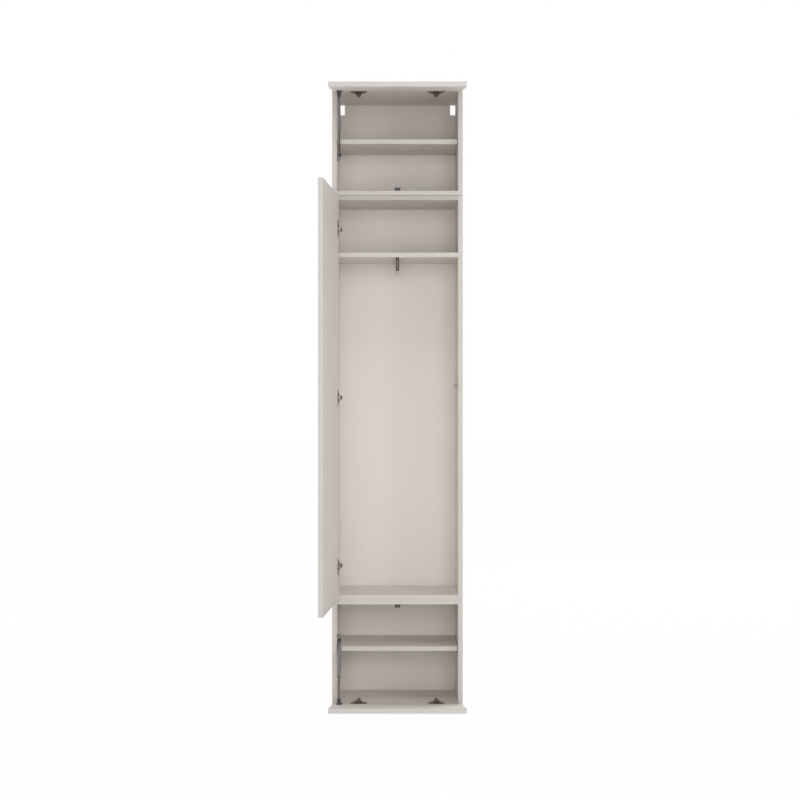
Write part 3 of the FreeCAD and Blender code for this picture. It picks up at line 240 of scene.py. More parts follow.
@dataclass(frozen=True)
class MelamineBoard(Finish):
    """Chipboard faced with matt melamine paper, its edges closed with a strip of ABS.

    The paper has a very fine pearl, drawn here at 1.4 mm because a real grain of 0.3 mm wouldn't show.
    The strip is darker than the paper, partly its own colour and partly painted shade on the front edges,
    and its glue joint is a hair line 0.85 mm in from the edge. Where two carcasses meet, a dark line
    stands for the shadow in the seam between them.
    """

    # the edge strip's darker colour is partly its own and partly painted shade on the front edges
    strip_shaded_colour: str = "#CFC8C1"
    banding: Banding = Banding.FRONT
    front_mm: float = -140.0
    strip_mm: float = 0.85
    joint_mm: float = 0.3
    joint_colour: str = "#6E655D"
    joint_share: float = 0.35
    grain_mm: float = 1.4
    grain_range: Pair = (0.985, 1.015)
    drift_mm: float = 160.0
    drift_range: Pair = (0.985, 1.012)
    gloss_grains: float = 3.0
    gloss_spread: float = 0.05
    relief: Pair = (0.10, 0.05)
    seams: tuple[Pair, ...] = ()
    seam_half_mm: float = 0.8
    seam_colour: str = "#5B534C"
    centre_mm: Triple = (0.0, 0.0, 0.0)
    half_mm: Pair = (0.0, 0.0)
    pin_m: Triple = (0.0, 0.0, 0.0)
    turn: Triple = (0.0, 0.0, 0.0)

    def depth(self, tree: Tree) -> Socket:
        """How far a point lies in from the nearest banded edge.

        Args:
            tree: the material's tree.

        Returns:
            The distance in metres.
        """
        if self.banding is Banding.FRONT:
            return self.step(tree, self.along(tree, 1), self.front_mm * MM, "SUBTRACT")
        given = {"Vector": self.place(tree), "Location": self.pin_m, "Rotation": self.turn}
        local = add(tree, "ShaderNodeMapping", given, vector_type="TEXTURE").outputs[0]
        split = add(tree, "ShaderNodeSeparateXYZ", {0: local})
        sides = []
        for axis, half in ((0, self.half_mm[0]), (2, self.half_mm[1])):
            off = self.step(tree, split.outputs[axis], self.centre_mm[axis] * MM, "SUBTRACT")
            sides.append(self.step(tree, half * MM, self.step(tree, off, 0.0, "ABSOLUTE"), "SUBTRACT"))
        return self.step(tree, sides[0], sides[1], "MINIMUM")

    def seam_shade(self, tree: Tree) -> Socket:
        """How much painted seam shadow there is where two carcasses meet: faint low down, strong above.

        Args:
            tree: the material's tree.

        Returns:
            The line's share, zero away from the seams.
        """
        z = self.along(tree, 2)
        near: object = 0.0
        for height_mm, share in self.seams:
            off = self.step(tree, self.step(tree, z, height_mm * MM, "SUBTRACT"), 0.0, "ABSOLUTE")
            line = self.step(tree, off, self.seam_half_mm * MM, "LESS_THAN")
            near = self.step(tree, self.step(tree, line, share, "MULTIPLY"), near, "MAXIMUM")
        return near

    def build(self) -> Material:
        """Make the material.

        Returns:
            The material.
        """
        material, tree, shader = self.begin()
        depth = self.depth(tree)
        strip = self.step(tree, depth, self.strip_mm * MM, "LESS_THAN")
        outer = self.step(tree, depth, (self.strip_mm + self.joint_mm) * MM, "LESS_THAN")
        joint = self.step(tree, outer, strip, "SUBTRACT")
        # the edge strip is darker: partly its own colour, partly painted shade
        face = self.tint(tree, strip, linear(self.colour), linear(self.strip_shaded_colour))
        drift = self.spread(tree, self.noise(tree, self.drift_mm, detail=1.0), *self.drift_range)
        pearl = self.spread(tree, self.noise(tree, self.grain_mm, detail=3.0), *self.grain_range)
        tone = self.shade(tree, face, self.step(tree, drift, pearl, "MULTIPLY"))
        glue = self.step(tree, joint, self.joint_share, "MULTIPLY")
        final = self.tint(tree, glue, tone, linear(self.joint_colour))
        if self.seams:
            final = self.tint(tree, self.seam_shade(tree), final, linear(self.seam_colour))
        tree.links.new(final, shader.inputs["Base Color"])
        low, high = self.roughness - self.gloss_spread, self.roughness + self.gloss_spread
        rough = self.spread(tree, self.noise(tree, self.grain_mm * self.gloss_grains), low, high)
        tree.links.new(rough, shader.inputs["Roughness"])
        self.bump(tree, shader, self.noise(tree, self.grain_mm, detail=4.0), *self.relief)
        shader.inputs["IOR"].default_value = 1.5
        return material


@dataclass(frozen=True)
class PaintedFibreboard(Finish):
    """Thin hard fibreboard, lacquered on its front and left raw and brown behind.

    The raw side shows short matted fibres and darker specks of bark.
    """

    raw_colour: str = "#9A7B5C"
    speck_colour: str = "#6B4F38"
    raw_from_mm: float = 137.4
    raw_rougher: float = 0.3
    fibre_mm: float = 6.0
    fibre_range: Pair = (0.88, 1.10)
    speck_mm: float = 2.2
    speck_range: Pair = (-0.5, 0.6)
    drift_mm: float = 220.0
    drift_range: Pair = (0.985, 1.012)
    relief: Pair = (0.12, 0.12)

    def build(self) -> Material:
        """Make the material.

        Returns:
            The material.
        """
        material, tree, shader = self.begin()
        raw = self.beyond(tree, 1, self.raw_from_mm)
        fibres = self.noise(tree, self.fibre_mm, detail=6.0)
        specks = self.spread(tree, self.noise(tree, self.speck_mm), *self.speck_range)
        brown = self.tint(tree, specks, linear(self.raw_colour), linear(self.speck_colour))
        mottled = self.shade(tree, brown, self.spread(tree, fibres, *self.fibre_range))
        drift = self.spread(tree, self.noise(tree, self.drift_mm, detail=1.0), *self.drift_range)
        lacquer = self.shade(tree, linear(self.colour), drift)
        tree.links.new(self.tint(tree, raw, lacquer, mottled), shader.inputs["Base Color"])
        more = self.step(tree, raw, self.raw_rougher, "MULTIPLY")
        tree.links.new(self.step(tree, more, self.roughness, "ADD"), shader.inputs["Roughness"])
        self.bump(tree, shader, fibres, *self.relief)
        shader.inputs["IOR"].default_value = 1.48
        return material


@dataclass(frozen=True)
class PlatedSteel(Finish):
    """Pressed or turned steel with a dull metal plating.

    The plating is slightly cloudy, with fine drawing marks that break up its gloss.
    """

    cloud_mm: float = 9.0
    cloud: float = 0.10
    mark_mm: float = 0.8
    smoother: float = 0.06
    rougher: float = 0.08
    relief: Pair = (0.15, 0.03)

    def build(self) -> Material:
        """Make the material.

        Returns:
            The material.
        """
        material, tree, shader = self.begin()
        cloud = self.noise(tree, self.cloud_mm, detail=3.0)
        drift = self.spread(tree, cloud, 1 - self.cloud, 1 + self.cloud)
        tree.links.new(self.shade(tree, linear(self.colour), drift), shader.inputs["Base Color"])
        rough = self.spread(tree, cloud, self.roughness - self.smoother, self.roughness + self.rougher)
        tree.links.new(rough, shader.inputs["Roughness"])
        self.bump(tree, shader, self.noise(tree, self.mark_mm), *self.relief)
        shader.inputs["Metallic"].default_value = 1.0
        return material


@dataclass(frozen=True)
class BakedEnamel(Finish):
    """Stoved enamel on steel: an even colour with a soft gloss and a faint orange peel 1.5 mm wide.

    A second colour can begin behind a given depth: the valet rail is dark in front and pale behind, the
    pale part painted light that offsets the hat shelf's shade on it.
    """

    peel_mm: float = 1.5
    drift_mm: float = 18.0
    drift_range: Pair = (0.94, 1.05)
    relief: Pair = (0.12, 0.04)
    coat: float = 0.25
    coat_roughness: float = 0.25
    rear_lit_colour: str = ""
    rear_from_mm: float = -132.1

    def build(self) -> Material:
        """Make the material.

        Returns:
            The material.
        """
        material, tree, shader = self.begin()
        base: object = linear(self.colour)
        # behind that depth the colour turns paler: painted light
        if self.rear_lit_colour:
            base = self.tint(tree, self.beyond(tree, 1, self.rear_from_mm), base, linear(self.rear_lit_colour))
        drift = self.spread(tree, self.noise(tree, self.drift_mm), *self.drift_range)
        tree.links.new(self.shade(tree, base, drift), shader.inputs["Base Color"])
        self.bump(tree, shader, self.noise(tree, self.peel_mm, detail=1.0), *self.relief)
        shader.inputs["IOR"].default_value = 1.5
        shader.inputs["Coat Weight"].default_value = self.coat
        shader.inputs["Coat Roughness"].default_value = self.coat_roughness
        return material


@dataclass(frozen=True)
class MouldedNylon(Finish):
    """Injection-moulded nylon or ABS: a spark-eroded grain of about 0.6 mm and a low sheen.

    A second, paler colour can begin beside a given width: painted light on the latch at the right, which
    stands in better light than the other two.
    """

    grain_mm: float = 0.6
    drift_mm: float = 5.0
    drift_range: Pair = (0.92, 1.07)
    relief: Pair = (0.2, 0.05)
    side_lit_colour: str = ""
    side_from_mm: float = 100.0

    def build(self) -> Material:
        """Make the material.

        Returns:
            The material.
        """
        material, tree, shader = self.begin()
        base: object = linear(self.colour)
        # past that width the colour turns paler: painted light
        if self.side_lit_colour:
            base = self.tint(tree, self.beyond(tree, 0, self.side_from_mm), base, linear(self.side_lit_colour))
        drift = self.spread(tree, self.noise(tree, self.drift_mm), *self.drift_range)
        tree.links.new(self.shade(tree, base, drift), shader.inputs["Base Color"])
        self.bump(tree, shader, self.noise(tree, self.grain_mm), *self.relief)
        shader.inputs["IOR"].default_value = 1.5
        return material


# Modelling helpers


def alone(obj: Piece) -> Piece:
    """Select one object alone and make it active.

    Args:
        obj: the object.

    Returns:
        The same object.
    """
    bpy.ops.object.select_all(action="DESELECT")
    obj.select_set(True)
    bpy.context.view_layer.objects.active = obj
    return obj


def settle(obj: Piece, angle: float = 35.0) -> Piece:
    """Apply a piece's place, merge its doubles, turn its faces out and shade it.

    Args:
        obj: the piece.
        angle: faces that meet below this many degrees are shaded as one.

    Returns:
        The piece.
    """
    alone(obj)
    bpy.ops.object.transform_apply(location=True, rotation=True, scale=True)
    bpy.ops.object.mode_set(mode="EDIT")
    bpy.ops.mesh.select_all(action="SELECT")
    bpy.ops.mesh.remove_doubles(threshold=MERGE_M)
    bpy.ops.mesh.normals_make_consistent(inside=False)
    bpy.ops.object.mode_set(mode="OBJECT")
    bpy.ops.object.shade_smooth_by_angle(angle=math.radians(angle))
    return obj


def pick_faces(obj: Piece, towards: Vector) -> None:
    """Select the faces of a mesh in edit mode that look one way.

    Args:
        obj: the object, in object mode.
        towards: the direction in which the faces look.
    """
    for polygon in obj.data.polygons:
        polygon.select = polygon.normal.dot(towards) > SAME_WAY
    for edge in obj.data.edges:
        edge.select = False
    for vertex in obj.data.vertices:
        vertex.select = False
    bpy.ops.object.mode_set(mode="EDIT")
    bpy.ops.mesh.select_mode(type="FACE")


@dataclass(frozen=True)
class DiscSize:
    """A disc's size: its radius, its height, the sides of its round and the bevel of its upper rim."""

    radius_mm: float
    height_mm: float
    sides: int
    bevel_mm: float


def disc(name: str, size: DiscSize) -> Piece:
    """A turned disc that stands on the origin along Z, its upper rim bevelled.

    Args:
        name: the piece's name.
        size: how large it is.

    Returns:
        The disc.
    """
    height = size.height_mm * MM
    bpy.ops.object.select_all(action="DESELECT")
    bpy.ops.mesh.primitive_cylinder_add(vertices=size.sides, radius=size.radius_mm * MM, depth=height,
                                        location=(0, 0, height / 2))
    obj = alone(bpy.context.active_object)
    obj.name = name
    bpy.ops.object.transform_apply(location=True, rotation=True, scale=True)
    pick_faces(obj, Vector((0, 0, 1)))
    bpy.ops.mesh.bevel(offset=size.bevel_mm * MM, segments=RIM_STEPS, affect="EDGES")
    bpy.ops.object.mode_set(mode="OBJECT")
    return obj


def cut_away(obj: Piece, span_mm: Triple, at_mm: Triple) -> None:
    """Cut a box out of a piece.

    Args:
        obj: the piece.
        span_mm: the box's size along X, Y and Z.
        at_mm: the box's centre.
    """
    bpy.ops.object.select_all(action="DESELECT")
    bpy.ops.mesh.primitive_cube_add(size=1, location=[c * MM for c in at_mm])
    tool = bpy.context.active_object
    tool.scale = [c * MM for c in span_mm]
    alone(tool)
    bpy.ops.object.transform_apply(location=True, rotation=True, scale=True)
    alone(obj)
    modifier = obj.modifiers.new("cut", "BOOLEAN")
    modifier.operation = "DIFFERENCE"
    modifier.object = tool
    bpy.ops.object.modifier_apply(modifier=modifier.name)
    bpy.data.objects.remove(tool)


@dataclass(frozen=True)
class Taper:
    """How one face of a block is drawn in: the way it looks, its scale and the point it shrinks to."""

    towards: Triple
    scale: Triple
    centre_mm: Triple


def block(name: str, span_mm: Triple, at_mm: Triple, bevel_mm: float,
          taper: Taper | None = None) -> Piece:
    """A block with all its edges bevelled.

    Args:
        name: the piece's name.
        span_mm: its size along X, Y and Z.
        at_mm: its centre.
        bevel_mm: how wide the bevels are.
        taper: how one of its faces is drawn in, if it is.

    Returns:
        The block.
    """
    bpy.ops.object.select_all(action="DESELECT")
    bpy.ops.mesh.primitive_cube_add(size=1, location=[c * MM for c in at_mm])
    obj = alone(bpy.context.active_object)
    obj.name = name
    obj.scale = [c * MM for c in span_mm]
    bpy.ops.object.transform_apply(location=True, rotation=True, scale=True)
    if taper:
        pick_faces(obj, Vector(taper.towards))
        bpy.ops.transform.resize(value=taper.scale, center_override=[c * MM for c in taper.centre_mm])
        bpy.ops.object.mode_set(mode="OBJECT")
    bpy.ops.object.mode_set(mode="EDIT")
    bpy.ops.mesh.select_all(action="SELECT")
    bpy.ops.mesh.bevel(offset=bevel_mm * MM, segments=EDGE_STEPS, affect="EDGES")
    bpy.ops.object.mode_set(mode="OBJECT")
    return obj


@dataclass(frozen=True)
class RingSize:
    """A ring's size: the radius of its middle line, the radius of its section and its steps round."""

    radius_mm: float
    wire_mm: float
    sides: int


def ring(name: str, size: RingSize) -> Piece:
    """A round ring about the Z axis at the origin.

    Args:
        name: the piece's name.
        size: how large it is.

    Returns:
        The ring.
    """
    bpy.ops.object.select_all(action="DESELECT")
    bpy.ops.mesh.primitive_torus_add(major_radius=size.radius_mm * MM, minor_radius=size.wire_mm * MM,
                                     major_segments=size.sides, minor_segments=WIRE_STEPS)
    obj = alone(bpy.context.active_object)
    obj.name = name
    return obj


def repeat(template: Piece, name: str, places: list[Matrix], body: str,
           material: Material) -> Piece:
    """Copy a piece to each place, join the copies, and let them ride on a body.

    Args:
        template: the piece, modelled at the origin. It is removed.
        name: the name of the joined piece.
        places: where each copy goes.
        body: the body that carries them.
        material: their material.

    Returns:
        The joined piece.
    """
    settle(template)
    copies = []
    for place in places:
        copy = bpy.data.objects.new(name, template.data.copy())
        copy.data.transform(place)
        bpy.context.collection.objects.link(copy)
        copies.append(copy)
    bpy.data.objects.remove(template)
    bpy.ops.object.select_all(action="DESELECT")
    for copy in copies:
        copy.select_set(True)
    bpy.context.view_layer.objects.active = copies[0]
    if len(copies) > 1:
        bpy.ops.object.join()
    joined = copies[0]
    joined.name = name
    joined.data.materials.clear()
    joined.data.materials.append(material)
    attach(joined, body)
    LOG.info("piece %s rides on %s", name, body)
    return joined


def shift(x_mm: float, y_mm: float, z_mm: float) -> Matrix:
    """A move in millimetres."""
    return Matrix.Translation(Vector((x_mm, y_mm, z_mm)) * MM)


def turn(degrees: float, axis: str) -> Matrix:
    """A turn about an axis through the origin."""
    return Matrix.Rotation(math.radians(degrees), 4, axis)


# The wardrobe


@dataclass
class DoorFrame:
    """A door's hinge frame: x along the closed door, y into the cabinet and z along the pins."""

    door: str
    joint: str
    closed_turn: float
    stations_mm: tuple[float, ...]
    half_mm: Pair
    pin_inset_mm: float = 8.4
    pin: Vector = field(init=False)
    opening: float = field(init=False)

    def __post_init__(self) -> None:
        """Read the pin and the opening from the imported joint."""
        joint = next(j for j in frame["joints"] if j["name"] == self.joint)
        self.pin = Vector(joint["pos_m"])
        self.opening = -joint["range_deg"][0]

    def cabinet(self) -> Matrix:
        """Where the hinge frame stands on the cabinet."""
        return Matrix.Translation(self.pin) @ turn(self.closed_turn, "Y")

    def panel(self) -> Matrix:
        """Where the hinge frame stands on the open door."""
        return self.cabinet() @ turn(-self.opening, "Z")

    def finish(self, colour: str, strip: str, roughness: float) -> MelamineBoard:
        """The door's melamine, banded all round.

        Args:
            colour: the colour of its faces.
            strip: the colour of its edge strip.
            roughness: how rough the paper is.

        Returns:
            strip: the colour of its edge strip, darker partly by painted shade.
        """
        centre = (self.half_mm[0] - self.pin_inset_mm, 0.0, 0.0)
        angles = tuple(self.panel().to_euler("XYZ"))
        return MelamineBoard(f"melamine_{self.door}", colour, roughness, strip, Banding.ALL_ROUND,
                             centre_mm=centre, half_mm=self.half_mm, pin_m=tuple(self.pin), turn=angles)


MAIN_DOOR = DoorFrame("main_door", "main_door_hinge", 0.0, (-580.0, 0.0, 580.0), (222.5, 694.5))
TOP_FLAP = DoorFrame("top_flap", "top_flap_hinge", 90.0, (-134.0, 134.0), (186.5, 222.5))
LOW_FLAP = DoorFrame("low_flap", "low_flap_hinge", -90.0, (-134.0, 134.0), (186.5, 222.5))
DOORS = (MAIN_DOOR, TOP_FLAP, LOW_FLAP)


@dataclass
class Palette:
    """Every finish of the wardrobe, made once."""

    board_colour: str = "#D9D3CE"
    # darker than the paper: partly the edge strip's own colour, partly painted shade on the front edges
    strip_shaded_colour: str = "#C0BBB6"
    # a still darker strip for the tall carcass's roof: painted shade on that front edge
    roof_strip_shaded_colour: str = "#B2ABA5"
    board_roughness: float = 0.5
    # painted shadow lines in the seams between the carcasses: each a height in mm and a strength
    seams: tuple[Pair, ...] = ((378.0, 0.25), (1772.0, 0.8))
    made: dict[str, Material] = field(default_factory=dict)

    def __post_init__(self) -> None:
        """Make the materials."""
        paper, rough = self.board_colour, self.board_roughness
        finishes = [
            MelamineBoard("melamine", paper, rough, self.strip_shaded_colour, seams=self.seams),
            # painted shade: the tall roof's front edge strip is darker than the other boards'
            MelamineBoard("melamine_roof", paper, rough, self.roof_strip_shaded_colour, seams=self.seams),
            MelamineBoard("melamine_shelf", paper, rough, self.strip_shaded_colour, front_mm=-117.0),
            PaintedFibreboard("lacquered_fibreboard", paper, 0.5),
            PlatedSteel("nickel_plated_steel", "#857C72", 0.38),
            # a darker copy of the nickel: painted shade on the flap hinges' arms and the door hinges'
            # hoods
            PlatedSteel("dulled_nickel", "#625A51", 0.5),
            PlatedSteel("zinc_plated_steel", "#A8A5A0", 0.36),
            PlatedSteel("cast_zinc", "#9D9A95", 0.45, cloud_mm=3.0, mark_mm=1.2),
            PlatedSteel("chromed_rod", "#5C5854", 0.3, cloud=0.04),
            BakedEnamel("strut_enamel", "#6B6763", 0.48, coat=0.1),
            BakedEnamel("bracket_enamel", "#403D39", 0.5, coat=0.0),
            BakedEnamel("pale_enamel", "#D0C9C3", 0.5, coat=0.0),
            # the rail's pale rear is painted light, offsetting the hat shelf's shade
            BakedEnamel("rail_enamel", "#2A211C", 0.6, coat=0.0, rear_lit_colour="#E8E2DC"),
            BakedEnamel("rail_inlay", "#766D66", 0.55, coat=0.0),
            MouldedNylon("cover_cap", "#CBC4BE", 0.5),
            MouldedNylon("black_nylon", "#3B3632", 0.5),
            # the paler side colour is painted light on the latch at the right
            MouldedNylon("latch_shell", "#3A322E", 0.5, side_lit_colour="#A39B93"),
            MouldedNylon("grey_plunger", "#57514C", 0.5),
            # painted light: a paler copy of the grey plunger for the latch at the right
            MouldedNylon("side_plunger", "#9A9189", 0.45),
        ]
        finishes.extend(door.finish(paper, self.strip_shaded_colour, rough) for door in DOORS)
        for finish in finishes:
            self.made[finish.name] = finish.build()

    def __getitem__(self, name: str) -> Material:
        """The material with this name."""
        return self.made[name]


def dress_nodes(given: dict[str, str], palette: Palette) -> None:
    """Give CAD nodes their materials.

    Args:
        given: each node with the name of its material.
        palette: the wardrobe's materials.
    """
    for name, material in given.items():
        data = frame["nodes"][name].data
        data.materials.clear()
        data.materials.append(palette[material])
        LOG.info("node %s is %s", name, material)


@dataclass
class Carcasses:
    """The three stacked carcasses: boards, backs, joints, and the saddles on the low shelf's pins."""

    modules: tuple[str, ...] = ("low", "tall", "top")
    boards: tuple[str, ...] = ("side_left", "side_right", "roof", "base")
    wall_mm: float = INNER_WALL_MM
    low_shelf_under_mm: float = 198.0
    pin_depths_mm: tuple[float, ...] = (-80.0, 97.0)
    saddle_mm: Triple = (4.8, 10.0, 9.0)
    saddle_bevel_mm: float = 0.9
    saddle_gap_mm: float = 1.3
    saddle_drop_mm: float = 0.05

    def build(self, palette: Palette) -> None:
        """Model the moulded saddles on the pins that the low shelf rests on.

        Args:
            palette: the wardrobe's materials.
        """
        wide, _, high = self.saddle_mm
        saddle = block("pin_saddle", self.saddle_mm, (-wide / 2, 0, -high / 2), self.saddle_bevel_mm)
        aside = self.wall_mm - self.saddle_gap_mm
        under = self.low_shelf_under_mm - self.saddle_drop_mm
        places = [shift(aside, depth, under) for depth in self.pin_depths_mm]
        places += [shift(-aside, depth, under) @ turn(180, "Z") for depth in self.pin_depths_mm]
        repeat(saddle, "shelf_pin_saddles", places, "cabinet", palette["black_nylon"])

    def dress(self, palette: Palette) -> None:
        """Give every board, back and fastener its finish.

        Args:
            palette: the wardrobe's materials.
        """
        given = {f"{module}_{board}": "melamine" for module in self.modules for board in self.boards}
        # the tall roof's darker edge strip is painted shade
        given |= {"tall_roof": "melamine_roof"}
        given |= {f"{module}_back": "lacquered_fibreboard" for module in self.modules}
        given |= {"hat_shelf": "melamine", "cam_locks": "cast_zinc", "connector_bolts": "cover_cap"}
        given |= {name: "melamine_shelf" for name in ("upper_shelf", "lower_shelf")}
        plated = ("cam_bolts", "back_nails", "shelf_pins", "cabinet_screws")
        dress_nodes(given | {name: "zinc_plated_steel" for name in plated}, palette)


@dataclass
class Hinges:
    """The concealed hinges of one door, in its hinge frame: what shows on them only close up."""

    door: DoorFrame
    # the default arm finish is the darker nickel copy, painted shade
    arm_finish: str = "dulled_nickel"
    hooded: bool = False
    web_mm: float = 18.1
    fixing_along_mm: float = 57.0
    fixing_screw: DiscSize = DiscSize(4.4, 1.3, 32, 0.45)
    adjusting_along_mm: float = 36.0
    adjusting_screw: DiscSize = DiscSize(3.1, 1.3, 32, 0.45)
    slot_share: float = 1.25
    slot_wide_mm: float = 0.9
    slot_deep_mm: float = 1.2
    sleeve: DiscSize = DiscSize(1.7, 4.6, 24, 0.3)
    sleeve_start_mm: float = 5.3
    rim: RingSize = RingSize(16.7, 0.75, 72)
    cup_x_mm: float = 12.6
    rim_depth_mm: float = 11.9
    collar: RingSize = RingSize(4.5, 1.0, 36)
    flange_mm: float = 12.5
    cup_screw_x_mm: float = 22.1
    cup_screw_z_mm: float = 22.5
    hood_mm: Triple = (5.6, 10.4, 15.0)
    hood_slope: Triple = (1.0, 0.85, 0.7)
    hood_bevel_mm: float = 1.1
    hood_from_mm: float = 21.6

    def build_screws(self, palette: Palette) -> None:
        """Model the screws on the arms: one holds the arm to its plate and one sets the door sideways.

        Args:
            palette: the wardrobe's materials.
        """
        for word, size, along in (("fixing", self.fixing_screw, self.fixing_along_mm),
                                  ("adjusting", self.adjusting_screw, self.adjusting_along_mm)):
            screw = disc(f"{word}_screw", size)
            long, top = size.radius_mm * self.slot_share, (0, 0, size.height_mm)
            cut_away(screw, (long, self.slot_wide_mm, self.slot_deep_mm), top)
            cut_away(screw, (self.slot_wide_mm, long, self.slot_deep_mm), top)
            places = [
                self.door.cabinet() @ shift(self.web_mm, along, station) @ turn(90, "Y")
                for station in self.door.stations_mm
            ]
            repeat(screw, f"{self.door.door}_{word}_screws", places, "cabinet",
                   palette["nickel_plated_steel"])

    def build_sleeves(self, palette: Palette) -> None:
        """Model the rolled sleeves that space the arm on its pin inside the cup.

        Args:
            palette: the wardrobe's materials.
        """
        sleeve = disc("pin_sleeve", self.sleeve)
        places = []
        for station in self.door.stations_mm:
            places.append(self.door.panel() @ shift(0, 0, station + self.sleeve_start_mm))
            places.append(self.door.panel() @ shift(0, 0, station - self.sleeve_start_mm) @ turn(180, "X"))
        repeat(sleeve, f"{self.door.door}_pin_sleeves", places, self.door.door,
               palette["nickel_plated_steel"])

    def build_collars(self, palette: Palette) -> None:
        """Model the rolled rim of each cup and the dowel collars round its screws.

        Args:
            palette: the wardrobe's materials.
        """
        stations = self.door.stations_mm
        rim = ring("cup_rim", self.rim)
        rims = [
            self.door.panel() @ shift(self.cup_x_mm, self.rim_depth_mm, z) @ turn(90, "X")
            for z in stations
        ]
        repeat(rim, f"{self.door.door}_cup_rims", rims, self.door.door,
               palette["nickel_plated_steel"])
        collar = ring("dowel_collar", self.collar)
        heights = [z + hand * self.cup_screw_z_mm for z in stations for hand in (-1, 1)]
        collars = [
            self.door.panel() @ shift(self.cup_screw_x_mm, self.flange_mm, height) @ turn(90, "X")
            for height in heights
        ]
        repeat(collar, f"{self.door.door}_dowel_collars", collars, self.door.door,
               palette["nickel_plated_steel"])

    def build_hoods(self, palette: Palette) -> None:
        """Model the raised hoods over the depth cams on the arms of the tall door.

        Args:
            palette: the wardrobe's materials.
        """
        thick, long, _ = self.hood_mm
        slope = Taper((1, 0, 0), self.hood_slope, (thick, 0, 0))
        hood = block("arm_hood", self.hood_mm, (thick / 2, 0, 0), self.hood_bevel_mm, slope)
        along = self.hood_from_mm + long / 2
        places = [self.door.cabinet() @ shift(self.web_mm, along, z) for z in self.door.stations_mm]
        # the hoods take the darker nickel copy: painted shade on the door's hinges
        repeat(hood, f"{self.door.door}_arm_hoods", places, "cabinet", palette["dulled_nickel"])

    def build(self, palette: Palette) -> None:
        """Model everything on these hinges that the CAD leaves out.

        Args:
            palette: the wardrobe's materials.
        """
        self.build_screws(palette)
        self.build_sleeves(palette)
        self.build_collars(palette)
        if self.hooded:
            self.build_hoods(palette)

    def dress(self, palette: Palette) -> None:
        """Give the door and its hinges their finishes.

        Args:
            palette: the wardrobe's materials.
        """
        name = self.door.door
        given = {f"{name}_hinge_{part}": "nickel_plated_steel" for part in ("cups", "pins", "plates")}
        given |= {f"{name}_hinge_arms": self.arm_finish}
        given |= {name: f"melamine_{name}", f"{name}_screws": "zinc_plated_steel"}
        dress_nodes(given, palette)


